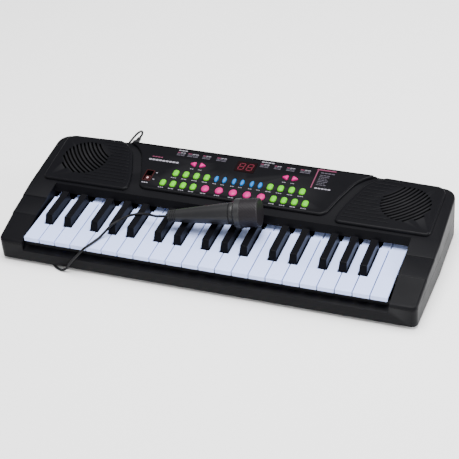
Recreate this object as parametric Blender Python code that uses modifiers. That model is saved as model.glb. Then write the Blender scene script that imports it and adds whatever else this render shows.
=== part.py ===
"""Toy electronic keyboard with 37 keys and a small corded microphone.

Metres, +Z up.  The origin is on the floor below the middle of the case; +X runs along the keys
towards the high notes, -Y faces the player.
"""
import math

import bmesh
import bpy
from mathutils import Matrix, Vector

# ---- case ---------------------------------------------------------------------------------
CASE_DEPTH = 0.170          # front face to the middle of the bowed rear wall
CASE_WIDTH = 0.445          # at its widest, half way along its depth
FRONT_NARROWING = 0.0025    # how far each side draws in towards the front
REAR_NARROWING = 0.0010
REAR_BOW = 0.0045           # how far the rear wall bulges in its middle
FRONT_CORNER_R = 0.006
REAR_CORNER_R = 0.014
WALL = 0.0022
FOOT_HEIGHT = 0.003
FOOT_R = 0.006
FOOT_FROM_SIDE = 0.0265
FOOT_FROM_FRONT = 0.017
FOOT_FROM_REAR = 0.020
SEAM_Z = 0.0224             # where the lower case ends and the upper case starts
GAP = 0.0003                # between two pieces that touch
SHY = 0.0001                # keeps the faces of two solids that are joined out of one plane

# ---- keys ---------------------------------------------------------------------------------
WHITE_COUNT = 22
KEY_PITCH = 0.0174
KEY_GAP = 0.0009
KEY_TOP = 0.031
KEY_LENGTH = 0.0737         # the part of a white key that shows
KEY_SETBACK = 0.003         # white key fronts behind the case front
KEY_PLATE = 0.003
LIP_HEIGHT = 0.005
LIP_THICKNESS = 0.002
BLACK_LENGTH = 0.0462
BLACK_WIDTH = 0.0084
BLACK_TOP_WIDTH = 0.0072
BLACK_RISE = 0.0093         # black key tops above white key tops
BLACK_SLOPE = 0.0035        # how far the front of a black key leans back
NOTCH_GAP = 0.0008
PIVOT_BEHIND_KEYS = 0.0203
PIVOT_DROP = 0.0075         # pivot below the white key tops
ROD_R = 0.0015
STEM_LENGTH = 0.0035
STEM_THICKNESS = 0.004
STEM_FROM_FRONT = 0.045
TONGUE_LENGTH = 0.005       # behind the pivot
TONGUE_RISE = 0.004         # tongue top above the pivot
HEEL_TOP = 0.006            # where a key's underside starts down to its tongue, before its rear end
HEEL_FOOT = 0.002
SADDLE_STEPS = 6
KEY_DIP = 0.0043            # travel of a white key's front edge
FENCE_CLEARANCE = 0.001     # left under a pressed key
WELL_SIDE_GAP = 0.0018
RAIL_HEIGHT = 0.012         # front rail below the keys, above the case's underside
RAIL_DEPTH = 0.008
RAIL_RISE = 0.003
ROD_RIB_HALF = 0.001        # half the thickness of the rib that carries the rod
STRIP_SHORTER = 0.002       # contact strip short of the last key's side, at each end
STRIP_DROP = 0.0133         # contact strip's underside below the white key tops
STRIP_HEIGHT = 0.003
STRIP_HALF_DEPTH = 0.007
STRIP_RIB_FAR = 0.006       # rib faces under the strip, from its middle
STRIP_RIB_NEAR = 0.0045
# Black keys of one octave: the white key on their left, and how far they sit off the boundary
OCTAVE_BLACKS = ((0, -0.0019), (1, 0.0019), (3, -0.0028), (4, 0.0), (5, 0.0028))
OCTAVE_WHITES = 7

# ---- cheeks and panel ------------------------------------------------------------------------
CHEEK_FRONT_Z = 0.0257
CHEEK_STEPS = ((0.0365, 0.0330, 0.0012), (0.0635, 0.0369, 0.0012))   # from front, height, rise
STEP_RUN = 0.0006           # depth over which a step rises
NOSE_RUN = 0.020            # the top line is carried this far past the front face
NOSE_DROP = 0.004           # and falls this much on the way
RISER_BEHIND_KEYS = 0.0063
RISER_FOOT_Z = 0.033
RISER_DEPTH = 0.0045
RISER_TOP_Z = 0.041
PANEL_TILT = math.radians(6.25)
PAD_RISE = 0.003
PAD_ROOT = 0.001            # how deep the pads and the console start inside the panel
PAD_FRONT_UP = 0.0035
PAD_REAR_UP = 0.0785
PAD_SIDE_REAR_UP = 0.0765
PAD_FROM_SIDE_FRONT = 0.0120
PAD_FROM_SIDE_REAR = 0.0110
PAD_INNER_R = 0.005
PAD_FRONT_R = 0.006
PAD_REAR_R = 0.010
# Inner edges of the speaker pads: half width, distance up the slope
PAD_EDGE = ((0.1125, 0.0095), (0.1150, 0.0223), (0.1190, 0.0356), (0.1240, 0.0490),
            (0.1295, 0.0623), (0.1385, 0.0727), (0.1480, PAD_REAR_UP))
VALLEY = 0.010              # between a pad and the console
CONSOLE_CORNER = (0.1015, 0.0100, 0.010)

# ---- panel furniture, in the panel's own plane: across, up the slope ---------------------------
SPEAKER_FROM_SIDE = 0.0455
SPEAKER_UP = 0.0427
GRILLE_R = 0.026
SLOT_WIDTH = 0.0021
SLOT_PITCH = 0.0041
SLOT_ANGLE = math.radians(46)   # slots climb outwards by this much in the grille's middle
SLOT_BEND_R = 0.085             # and curve round a point this far up and inwards
SLOT_MARGIN = 0.001
SHORTEST_SLOT = 0.008
SLOT_STEPS = 6
PANEL_CUT = (-0.005, 0.006)     # from below the panel to above the pads
SPEAKER_R = 0.0285
SPEAKER_DEPTH = 0.016
BUTTON_PROUD = 0.0022
HOLE_GAP = 0.0004
WEB_THICKNESS = 0.0008
WEB_MARGIN = 0.0015
LOWER_ROW = 0.0215
UPPER_ROW = 0.0385
ARROW_ROW = 0.0560
GREEN_SIZE = (0.0062, 0.0094)
GREEN_CORNER_R = 0.0028
GREEN_LOWER_X = (0.0440, 0.0553, 0.0666, 0.0780)
GREEN_UPPER_X = (0.0350, 0.0465, 0.0583, 0.0697)
PINK_SIZE = (0.0084, 0.0100)
PINK_PITCH = 0.0153
BLUE_SIZE = (0.0042, 0.0092)
BLUE_PITCH = 0.0196
BLUE_SPREAD = 0.0041
ARROW_SIZE = (0.0072, 0.0084)
ARROW_CORNER_R = 0.0010
ARROW_X = 0.0512
ARROW_SPREAD = 0.0058
DISPLAY_SIZE = (0.0210, 0.0160)
DISPLAY_UP = 0.0635
LENS_THICKNESS = 0.0015
LENS_PROUD = 0.0002
SWITCH_X = -0.0975
SWITCH_UP = 0.0295
SWITCH_SLOT = (0.0075, 0.0150)
SWITCH_KNOB = (0.0062, 0.0078)
SWITCH_CLEARANCE = 0.0004   # knob from the end of its slot, and its top below the pad's
BOARD_SIZE = (0.220, 0.0620)
BOARD_THICKNESS = 0.0016
BOARD_DEPTH = 0.0068        # top of the board below the panel's surface
BOARD_UP = 0.0420
POST_R = 0.0025
POST_INSET = 0.004
CONE_EDGE = 0.0030          # speaker profile: depths of rim, dish and basket below its face
RIM_THICKNESS = 0.0025
DISH_DROP = 0.0012
BASKET_DROP = 0.0095
MAGNET_SHARE = 0.48         # of the rim's radius
BASKET_SHARE = 0.86
DISH_SHARE = 0.70

# ---- power ------------------------------------------------------------------------------------
CELL_R = 0.00725
CELL_LENGTH = 0.0505
CELL_COUNT = 4
CELL_SIDES = 16
CELL_TOUCH = 0.0001         # how deep neighbouring cell wraps press into each other
BAY_X = 0.070
BAY_FRONT = 0.0165
BAY_GAP = 0.0008
BAY_SPRING = 0.004          # room for the contact springs at the cells' ends
DOOR_THICKNESS = 0.0016
DOOR_LEDGE = 0.003
DOOR_CUT_LOW = 0.001        # any height under the case's floor
GRIP_COUNT = 5
GRIP_PITCH = 0.0028
GRIP_WIDTH = 0.0012
GRIP_HALF_LENGTH = 0.012
GRIP_DEPTH = 0.0005
GRIP_FROM_EDGE = 0.008

# ---- microphone and its cord --------------------------------------------------------------------
MIC_TAIL_X = -0.0500
MIC_TAIL_BEFORE_RISER = 0.0222   # middle of the tail in front of the keys' rear ends
MIC_TURN = math.radians(7.7)
MIC_TAIL_R = 0.006
MIC_NECK_R = 0.0115
MIC_HEAD_R = 0.0152
MIC_HANDLE_LENGTH = 0.0705
MIC_HEAD_LENGTH = 0.0262
MIC_TAIL_CHAMFER = 0.0015
MIC_NECK_LENGTH = 0.003
MIC_HEAD_CHAMFER = 0.002
JACK_X = -0.143
JACK_Z = 0.036
JACK_R = 0.0045
JACK_FLANGE = 0.002         # radius and length that the socket's body adds inside
JACK_FLANGE_GAP = 0.0008    # flange behind the wall's inner face
PIN_R = 0.0015
PIN_LENGTH = 0.013
PIN_TIP = 0.001
BORE_CLEARANCE = 0.0002
PLUG_R = 0.0042
PLUG_LENGTH = 0.0200
RELIEF_LENGTH = 0.0080
RELIEF_R = 0.0021
RELIEF_FLARE = 0.0008
PLUG_CHAMFER = 0.0008
PLUG_SHOULDER = 0.002
CORD_D = 0.0025
CORD_LEAD_IN = (2.5 * CORD_D, 1.5 * GAP)   # points behind the microphone's tail, on its axis
CORD_POINT_SPACING = 3 * CORD_D

# ---- places that follow from the sizes above ------------------------------------------------------
FRONT = -CASE_DEPTH / 2
REAR = CASE_DEPTH / 2
MIDDLE_HALF_WIDTH = CASE_WIDTH / 2
FRONT_HALF_WIDTH = MIDDLE_HALF_WIDTH - FRONT_NARROWING
REAR_HALF_WIDTH = MIDDLE_HALF_WIDTH - REAR_NARROWING
SPEAKER_X = MIDDLE_HALF_WIDTH - SPEAKER_FROM_SIDE
KEY_FRONT = FRONT + KEY_SETBACK
KEY_REAR = KEY_FRONT + KEY_LENGTH
PIVOT_Y = KEY_REAR + PIVOT_BEHIND_KEYS
PIVOT_Z = KEY_TOP - PIVOT_DROP
WELL_HALF = WHITE_COUNT * KEY_PITCH / 2 + WELL_SIDE_GAP
RISER_FOOT_Y = KEY_REAR + RISER_BEHIND_KEYS
RISER_TOP_Y = RISER_FOOT_Y + RISER_DEPTH
FLOOR_TOP = FOOT_HEIGHT + WALL
RAIL_FRONT_Z = FOOT_HEIGHT + RAIL_HEIGHT
FENCE_TOP = KEY_TOP - KEY_PLATE - KEY_DIP - FENCE_CLEARANCE
BLACK_TOP = KEY_TOP + BLACK_RISE
STRIP_Y = KEY_FRONT + STEM_FROM_FRONT
STRIP_LOW = KEY_TOP - STRIP_DROP
STRIP_HALF = WHITE_COUNT * KEY_PITCH / 2 - STRIP_SHORTER
TONGUE_REAR = PIVOT_Y + TONGUE_LENGTH
TONGUE_TOP = PIVOT_Z + TONGUE_RISE
WHITE_X = [(number - (WHITE_COUNT - 1) / 2) * KEY_PITCH for number in range(WHITE_COUNT)]
BLACK_X = [WHITE_X[octave + step] + KEY_PITCH / 2 + shift
           for octave in range(0, WHITE_COUNT - 1, OCTAVE_WHITES)
           for step, shift in OCTAVE_BLACKS]
CELL_Z = FOOT_HEIGHT + 2 * GAP + DOOR_THICKNESS + CELL_R
BAY_HALF = CELL_COUNT * CELL_R + BAY_GAP
BAY_REAR = BAY_FRONT + CELL_LENGTH + 2 * BAY_GAP + BAY_SPRING
BAY_TOP = CELL_Z + CELL_R + BAY_GAP
FAR = MIDDLE_HALF_WIDTH + CASE_DEPTH   # beyond every face of the case
HIGH = 0.08                            # above the case's top


def panel_height(y):
    """Height of the bare panel above the floor at depth y."""
    return RISER_TOP_Z + (y - RISER_TOP_Y) * math.tan(PANEL_TILT)


# ---- tools -------------------------------------------------------------------------------------
for old in list(bpy.data.objects):
    bpy.data.objects.remove(old, do_unlink=True)

PARTS = bpy.data.collections.new("toy_keyboard")
CUTTERS = bpy.data.collections.new("cutters")
for group in (PARTS, CUTTERS):
    bpy.context.scene.collection.children.link(group)


def make_material(name, colour, roughness, metallic=0.0):
    material = bpy.data.materials.new(name)
    material.use_nodes = True
    shader = material.node_tree.nodes["Principled BSDF"]
    shader.inputs["Base Color"].default_value = (*colour, 1.0)
    shader.inputs["Roughness"].default_value = roughness
    shader.inputs["Metallic"].default_value = metallic
    material.diffuse_color = (*colour, 1.0)
    return material


BLACK_PLASTIC = make_material("black_plastic", (0.022, 0.022, 0.026), 0.45)
WHITE_PLASTIC = make_material("white_plastic", (0.80, 0.83, 0.88), 0.35)
GLOSS_BLACK = make_material("gloss_black", (0.012, 0.012, 0.014), 0.25)
GREEN_RUBBER = make_material("green_rubber", (0.28, 0.72, 0.08), 0.5)
BLUE_RUBBER = make_material("blue_rubber", (0.05, 0.32, 0.68), 0.5)
PINK_RUBBER = make_material("pink_rubber", (0.80, 0.05, 0.28), 0.5)
GREY_RUBBER = make_material("grey_rubber", (0.35, 0.36, 0.37), 0.7)
RED_PLASTIC = make_material("red_plastic", (0.55, 0.03, 0.03), 0.4)
RED_LENS = make_material("red_lens", (0.10, 0.01, 0.015), 0.1)
BOARD = make_material("board", (0.05, 0.22, 0.09), 0.5)
STEEL = make_material("steel", (0.6, 0.6, 0.6), 0.3, 1.0)
PAPER_CONE = make_material("paper_cone", (0.05, 0.05, 0.05), 0.8)
CELL_WRAP = make_material("cell_wrap", (0.10, 0.12, 0.35), 0.4)
CORD_JACKET = make_material("cord_jacket", (0.015, 0.015, 0.017), 0.5)


def add_object(name, mesh, material=None, parent=None):
    """Link a mesh as a part, or as a hidden cutter when it has no material."""
    item = bpy.data.objects.new(name, mesh)
    if material is None:
        CUTTERS.objects.link(item)
        item.hide_render = True
        item.display_type = "WIRE"
    else:
        PARTS.objects.link(item)
        mesh.materials.append(material)
    item.parent = parent
    return item


def add_empty(name, location, rotation=(0.0, 0.0, 0.0)):
    empty = bpy.data.objects.new(name, None)
    empty.location = location
    empty.rotation_euler = rotation
    empty.empty_display_size = 0.01
    PARTS.objects.link(empty)
    return empty


def raised_outlines(name, outlines, low, high, along="Z"):
    """Mesh of flat outlines raised from low to high; along X they are drawn in Y and Z."""
    curve = bpy.data.curves.new(name, "CURVE")
    curve.dimensions = "2D"
    curve.fill_mode = "BOTH"
    curve.extrude = (high - low) / 2
    for outline in outlines:
        spline = curve.splines.new("POLY")
        spline.points.add(len(outline) - 1)
        for point, (x, y) in zip(spline.points, outline):
            point.co = (x, y, 0.0, 1.0)
        spline.use_cyclic_u = True
    holder = bpy.data.objects.new(name, curve)
    bpy.context.scene.collection.objects.link(holder)
    mesh = mesh_of(holder)
    mesh.transform(Matrix.Translation((0.0, 0.0, (low + high) / 2)))
    if along == "X":
        mesh.transform(Matrix(((0, 0, 1, 0), (1, 0, 0, 0), (0, 1, 0, 0), (0, 0, 0, 1))))
    mesh.name = name
    return mesh


def mesh_of(holder):
    """Welded mesh of a curve object, which is removed."""
    bpy.context.view_layer.update()
    depsgraph = bpy.context.evaluated_depsgraph_get()
    mesh = bpy.data.meshes.new_from_object(holder.evaluated_get(depsgraph))
    mesh.materials.clear()
    bpy.data.objects.remove(holder, do_unlink=True)
    tidy = bmesh.new()
    tidy.from_mesh(mesh)
    bmesh.ops.remove_doubles(tidy, verts=tidy.verts, dist=1e-6)
    bmesh.ops.recalc_face_normals(tidy, faces=tidy.faces)
    tidy.to_mesh(mesh)
    tidy.free()
    return mesh


def boxes(name, corners):
    """Mesh of boxes, each given by its low and its high corner."""
    blocks = bmesh.new()
    for low, high in corners:
        size = Vector(high) - Vector(low)
        place = Matrix.Translation((Vector(low) + Vector(high)) / 2) @ Matrix.Diagonal((*size, 1.0))
        bmesh.ops.create_cube(blocks, size=1.0, matrix=place)
    mesh = bpy.data.meshes.new(name)
    blocks.to_mesh(mesh)
    blocks.free()
    return mesh


def cylinders(name, discs, segments=24):
    """Mesh of upright cylinders: x, y, radius, low, high."""
    solid = bmesh.new()
    for x, y, radius, low, high in discs:
        bmesh.ops.create_cone(
            solid, cap_ends=True, segments=segments, radius1=radius, radius2=radius,
            depth=high - low, matrix=Matrix.Translation((x, y, (low + high) / 2)))
    mesh = bpy.data.meshes.new(name)
    solid.to_mesh(mesh)
    solid.free()
    return mesh


def boolean(target, operation, cutter_mesh, parent=None):
    """Cut, join or trim a part with a mesh that is kept as a hidden cutter."""
    cutter = add_object(f"{target.name}_{cutter_mesh.name}", cutter_mesh, parent=parent)
    modifier = target.modifiers.new(cutter_mesh.name, "BOOLEAN")
    modifier.operation = operation
    modifier.solver = "EXACT"
    modifier.object = cutter
    return cutter


def turned(name, profile, material, parent=None, steps=24):
    """Solid of revolution about local Z from (radius, height) points that start at the top."""
    outline = bmesh.new()
    previous = None
    for radius, height in profile:
        vertex = outline.verts.new((radius, 0.0, height))
        if previous:
            outline.edges.new((previous, vertex))
        previous = vertex
    mesh = bpy.data.meshes.new(name)
    outline.to_mesh(mesh)
    outline.free()
    item = add_object(name, mesh, material, parent)
    screw = item.modifiers.new("turn", "SCREW")
    screw.axis = "Z"
    screw.steps = steps
    screw.render_steps = steps
    screw.use_merge_vertices = True
    screw.merge_threshold = 0.00005
    return item


def rounded(corners, segments=4):
    """Outline through (x, y, radius) corners, anticlockwise, with each corner as an arc."""
    outline = []
    count = len(corners)
    for index, (x, y, radius) in enumerate(corners):
        here = Vector((x, y))
        if radius <= 0.0:
            outline.append((x, y))
            continue
        into = (here - Vector(corners[index - 1][:2])).normalized()
        away = (Vector(corners[(index + 1) % count][:2]) - here).normalized()
        turn = into.angle_signed(away)
        reach = radius * abs(math.tan(turn / 2))
        start = here - into * reach
        side = Vector((-into.y, into.x)) * (-1 if turn > 0 else 1)
        centre = start + side * radius
        arm = start - centre
        for step in range(segments + 1):
            spin = Matrix.Rotation(-turn * step / segments, 2)
            outline.append(tuple(centre + spin @ arm))
    return outline


def oval(x, y, width, height, points=14):
    return [(x + width / 2 * math.cos(2 * math.pi * step / points),
             y + height / 2 * math.sin(2 * math.pi * step / points)) for step in range(points)]


def rectangle(x, y, width, height):
    half_w, half_h = width / 2, height / 2
    return [(x - half_w, y - half_h), (x + half_w, y - half_h),
            (x + half_w, y + half_h), (x - half_w, y + half_h)]


def plan_outline(inset):
    """Outline of the case seen from above, moved inwards by inset."""
    half = [
        (FRONT_HALF_WIDTH - inset, FRONT + inset, FRONT_CORNER_R - inset),
        (MIDDLE_HALF_WIDTH - inset, 0.0, 0.0),
        (REAR_HALF_WIDTH - inset, REAR - REAR_BOW - inset, REAR_CORNER_R - inset),
        ((REAR_HALF_WIDTH - inset) / 2, REAR - REAR_BOW / 4 - inset, 0.0),
    ]
    mirrored = [(-x, y, radius) for x, y, radius in reversed(half)]
    return rounded(half + [(0.0, REAR - inset, 0.0)] + mirrored, 5)


def top_profile(drop):
    """Side view of the upper case's top, from the front to the rear, lowered by drop."""
    line = [(FRONT - NOSE_RUN, CHEEK_FRONT_Z - NOSE_DROP - drop), (FRONT, CHEEK_FRONT_Z - drop)]
    for reach, height, rise in CHEEK_STEPS:
        line.append((FRONT + reach, height - drop))
        line.append((FRONT + reach + STEP_RUN, height + rise - drop))
    line.append((RISER_TOP_Y, RISER_TOP_Z - drop))
    line.append((FAR, panel_height(FAR) - drop))
    return line


PANEL = add_empty("panel_plane", (0.0, RISER_TOP_Y, RISER_TOP_Z), (PANEL_TILT, 0.0, 0.0))


def speaker_pad(side):
    """Outline of a speaker pad; side is -1 on the left and 1 on the right."""
    inner = [(x, up, 0.0) for x, up in reversed(PAD_EDGE)]
    corners = [
        (PAD_EDGE[0][0], PAD_FRONT_UP, PAD_INNER_R),
        (MIDDLE_HALF_WIDTH - PAD_FROM_SIDE_FRONT, PAD_FRONT_UP, PAD_FRONT_R),
        (MIDDLE_HALF_WIDTH - PAD_FROM_SIDE_REAR, PAD_SIDE_REAR_UP, PAD_REAR_R),
    ] + inner
    return rounded([(side * x, up, radius) for x, up, radius in corners[::side]])


def console_outline(inset):
    """Outline of the raised console between the two speaker pads."""
    across, up, radius = CONSOLE_CORNER
    right = [(across - inset, up + inset, radius)]
    right += [(x - VALLEY - inset, up, 0.0) for x, up in PAD_EDGE[1:-1]]
    right += [(PAD_EDGE[-1][0] - VALLEY - inset, PAD_REAR_UP - inset, 0.0)]
    left = [(-x, up, radius) for x, up, radius in reversed(right)]
    return rounded(right + left)


# ---- buttons: node name, material, outline of each cap --------------------------------------------
def arrow(x, direction):
    """A triangle that points left or right."""
    width, height = ARROW_SIZE
    corners = [(-width / 2, 0.0), (width / 2, -height / 2), (width / 2, height / 2)]
    if direction > 0:
        corners = [(-cx, cy) for cx, cy in reversed(corners)]
    return rounded([(x + cx, ARROW_ROW + cy, ARROW_CORNER_R) for cx, cy in corners], 3)


def scaled(outline, growth):
    """The same outline with each point moved away from its middle by growth."""
    middle = sum((Vector(point) for point in outline), Vector((0.0, 0.0))) / len(outline)
    return [tuple(Vector(p) + (Vector(p) - middle).normalized() * growth) for p in outline]


def green_cap(x, up):
    """An upright cap with nearly round ends."""
    corners = rectangle(x, up, *GREEN_SIZE)
    return rounded([(cx, cy, GREEN_CORNER_R) for cx, cy in corners], 3)


def green_caps(side):
    places = [(side * x, LOWER_ROW) for x in GREEN_LOWER_X]
    places += [(side * x, UPPER_ROW) for x in GREEN_UPPER_X]
    return [green_cap(x, up) for x, up in places]


BUTTONS = {
    "green_buttons_left": (GREEN_RUBBER, green_caps(-1)),
    "green_buttons_right": (GREEN_RUBBER, green_caps(1)),
    "blue_buttons": (BLUE_RUBBER, [
        oval(pair * BLUE_PITCH + side * BLUE_SPREAD, UPPER_ROW, *BLUE_SIZE)
        for pair in (-1, 0, 1) for side in (-1, 1)]),
    "pink_buttons": (PINK_RUBBER, [
        oval(place * PINK_PITCH, LOWER_ROW, *PINK_SIZE) for place in (-2, -1, 0, 1, 2)]),
    "arrow_buttons_left": (PINK_RUBBER, [
        arrow(-ARROW_X - ARROW_SPREAD, -1), arrow(-ARROW_X + ARROW_SPREAD, 1)]),
    "arrow_buttons_right": (PINK_RUBBER, [
        arrow(ARROW_X - ARROW_SPREAD, -1), arrow(ARROW_X + ARROW_SPREAD, 1)]),
}


def web_outlines(caps):
    """Strips that tie the caps of one moulding together below the panel."""
    rows = {}
    for cap in caps:
        middle = sum(y for _, y in cap) / len(cap)
        rows.setdefault(round(middle, 3), []).extend(cap)
    strips = []
    for points in rows.values():
        xs = [x for x, _ in points]
        ys = [y for _, y in points]
        strips.append((min(xs) - WEB_MARGIN, min(ys) - WEB_MARGIN,
                       max(xs) + WEB_MARGIN, max(ys) + WEB_MARGIN))
    return strips


def make_buttons(name, material, caps):
    """Caps standing on a thin web that lies under the panel."""
    web_top = PAD_RISE - WALL - GAP
    web_low = web_top - WEB_THICKNESS
    mesh = raised_outlines(name, caps, web_top - WEB_THICKNESS / 2, PAD_RISE + BUTTON_PROUD)
    item = add_object(name, mesh, material, PANEL)
    strips = web_outlines(caps)
    plates = [((x0, y0, web_low), (x1, y1, web_top)) for x0, y0, x1, y1 in strips]
    boolean(item, "UNION", boxes("web", plates[:1]), PANEL)
    if len(plates) > 1:
        first, second = sorted(strips, key=lambda strip: strip[1])
        x0 = max(first[0], second[0])
        x1 = min(first[2], second[2])
        tie_low = (x0, first[1] + WEB_MARGIN, web_low + SHY)
        tie_high = (x1, second[3] - WEB_MARGIN, web_top - SHY)
        boolean(item, "UNION", boxes("second_web", plates[1:]), PANEL)
        boolean(item, "UNION", boxes("tie", [(tie_low, tie_high)]), PANEL)
    return item


# ---- upper case --------------------------------------------------------------------------------
def grille_slots(side):
    """Curved slots that fill a round grille, all struck from one point up and towards the middle."""
    middle = Vector((side * SPEAKER_X, SPEAKER_UP))
    outwards = Vector((side * math.sin(SLOT_ANGLE), -math.cos(SLOT_ANGLE)))
    hub = middle - outwards * SLOT_BEND_R
    start = math.atan2(outwards.y, outwards.x)
    reach = GRILLE_R - SLOT_MARGIN
    slots = []
    count = int(GRILLE_R / SLOT_PITCH)
    for row in range(-count, count + 1):
        ring = SLOT_BEND_R + row * SLOT_PITCH
        opening = (ring ** 2 + SLOT_BEND_R ** 2 - reach ** 2) / (2 * ring * SLOT_BEND_R)
        half_turn = math.acos(min(opening, 1.0))
        if 2 * half_turn * ring < SHORTEST_SLOT:
            continue
        turns = [start + half_turn * (2 * step / SLOT_STEPS - 1) for step in range(SLOT_STEPS + 1)]
        outer = [(ring + SLOT_WIDTH / 2, turn) for turn in turns]
        inner = [(ring - SLOT_WIDTH / 2, turn) for turn in reversed(turns)]
        slots.append([(hub.x + radius * math.cos(turn), hub.y + radius * math.sin(turn))
                      for radius, turn in outer + inner])
    return slots


def make_upper_case():
    case = add_object("upper_case", raised_outlines(
        "upper_case", [plan_outline(0.0)], SEAM_Z + GAP, HIGH), BLACK_PLASTIC)
    below = [(FAR, 0.0), (FRONT - NOSE_RUN, 0.0)]
    boolean(case, "INTERSECT", raised_outlines("top", [top_profile(0.0) + below], -FAR, FAR, "X"))
    for side, label in ((-1, "left_pad"), (1, "right_pad")):
        boolean(case, "UNION", raised_outlines(label, [speaker_pad(side)], -PAD_ROOT, PAD_RISE), PANEL)
    boolean(case, "UNION", raised_outlines(
        "console", [console_outline(0.0)], -PAD_ROOT, PAD_RISE), PANEL)

    hollow = add_object("hollow", raised_outlines("hollow", [plan_outline(WALL)], 0.0, HIGH))
    boolean(hollow, "INTERSECT", raised_outlines(
        "ceiling", [top_profile(WALL) + below], -FAR, FAR, "X"))
    lean = RISER_DEPTH / (RISER_TOP_Z - RISER_FOOT_Z)
    inner_foot = RISER_FOOT_Y + WALL
    over = HIGH - RISER_FOOT_Z
    kept = [(-FAR, -HIGH), (inner_foot, -HIGH), (inner_foot, RISER_FOOT_Z),
            (inner_foot + over * lean, HIGH), (-FAR, HIGH)]
    boolean(hollow, "DIFFERENCE", raised_outlines(
        "well_walls", [kept], -WELL_HALF - WALL, WELL_HALF + WALL, "X"))
    carve = case.modifiers.new("hollow", "BOOLEAN")
    carve.operation = "DIFFERENCE"
    carve.solver = "EXACT"
    carve.object = hollow

    well = [(-FAR, 0.0), (RISER_FOOT_Y, 0.0), (RISER_FOOT_Y, RISER_FOOT_Z),
            (RISER_FOOT_Y + over * lean, HIGH), (-FAR, HIGH)]
    boolean(case, "DIFFERENCE", raised_outlines("well", [well], -WELL_HALF, WELL_HALF, "X"))
    boolean(case, "DIFFERENCE", boxes("key_passage", [
        ((-WELL_HALF, -FAR, 0.0), (WELL_HALF, inner_foot + WALL, RISER_FOOT_Z))]))
    boolean(case, "DIFFERENCE", raised_outlines(
        "console_hollow", [console_outline(WALL)], PANEL_CUT[0], PAD_RISE - WALL), PANEL)
    post_x = BOARD_SIZE[0] / 2 - POST_INSET
    post_reach = BOARD_SIZE[1] / 2 - POST_INSET
    posts = [(side * post_x, BOARD_UP + way * post_reach, POST_R, -BOARD_DEPTH + GAP, post_top)
             for side in (-1, 1)
             for way, post_top in ((-1, -WALL / 2), (1, PAD_RISE - WALL / 2))]
    boolean(case, "UNION", cylinders("board_posts", posts, 12), PANEL)

    holes = [scaled(cap, HOLE_GAP) for _, caps in BUTTONS.values() for cap in caps]
    holes.append(rectangle(0.0, DISPLAY_UP, DISPLAY_SIZE[0] + 2 * GAP, DISPLAY_SIZE[1] + 2 * GAP))
    holes.append(rectangle(SWITCH_X, SWITCH_UP, *SWITCH_SLOT))
    boolean(case, "DIFFERENCE", raised_outlines("panel_holes", holes, *PANEL_CUT), PANEL)
    slots = grille_slots(-1) + grille_slots(1)
    boolean(case, "DIFFERENCE", raised_outlines("grille_slots", slots, *PANEL_CUT), PANEL)

    jack_hole = cylinders("jack_hole", [(0.0, 0.0, JACK_R + GAP, -REAR_CORNER_R, REAR_CORNER_R)])
    hole = boolean(case, "DIFFERENCE", jack_hole)
    hole.location = (JACK_X, REAR, JACK_Z)
    hole.rotation_euler = (math.pi / 2, 0.0, 0.0)
    return case


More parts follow.
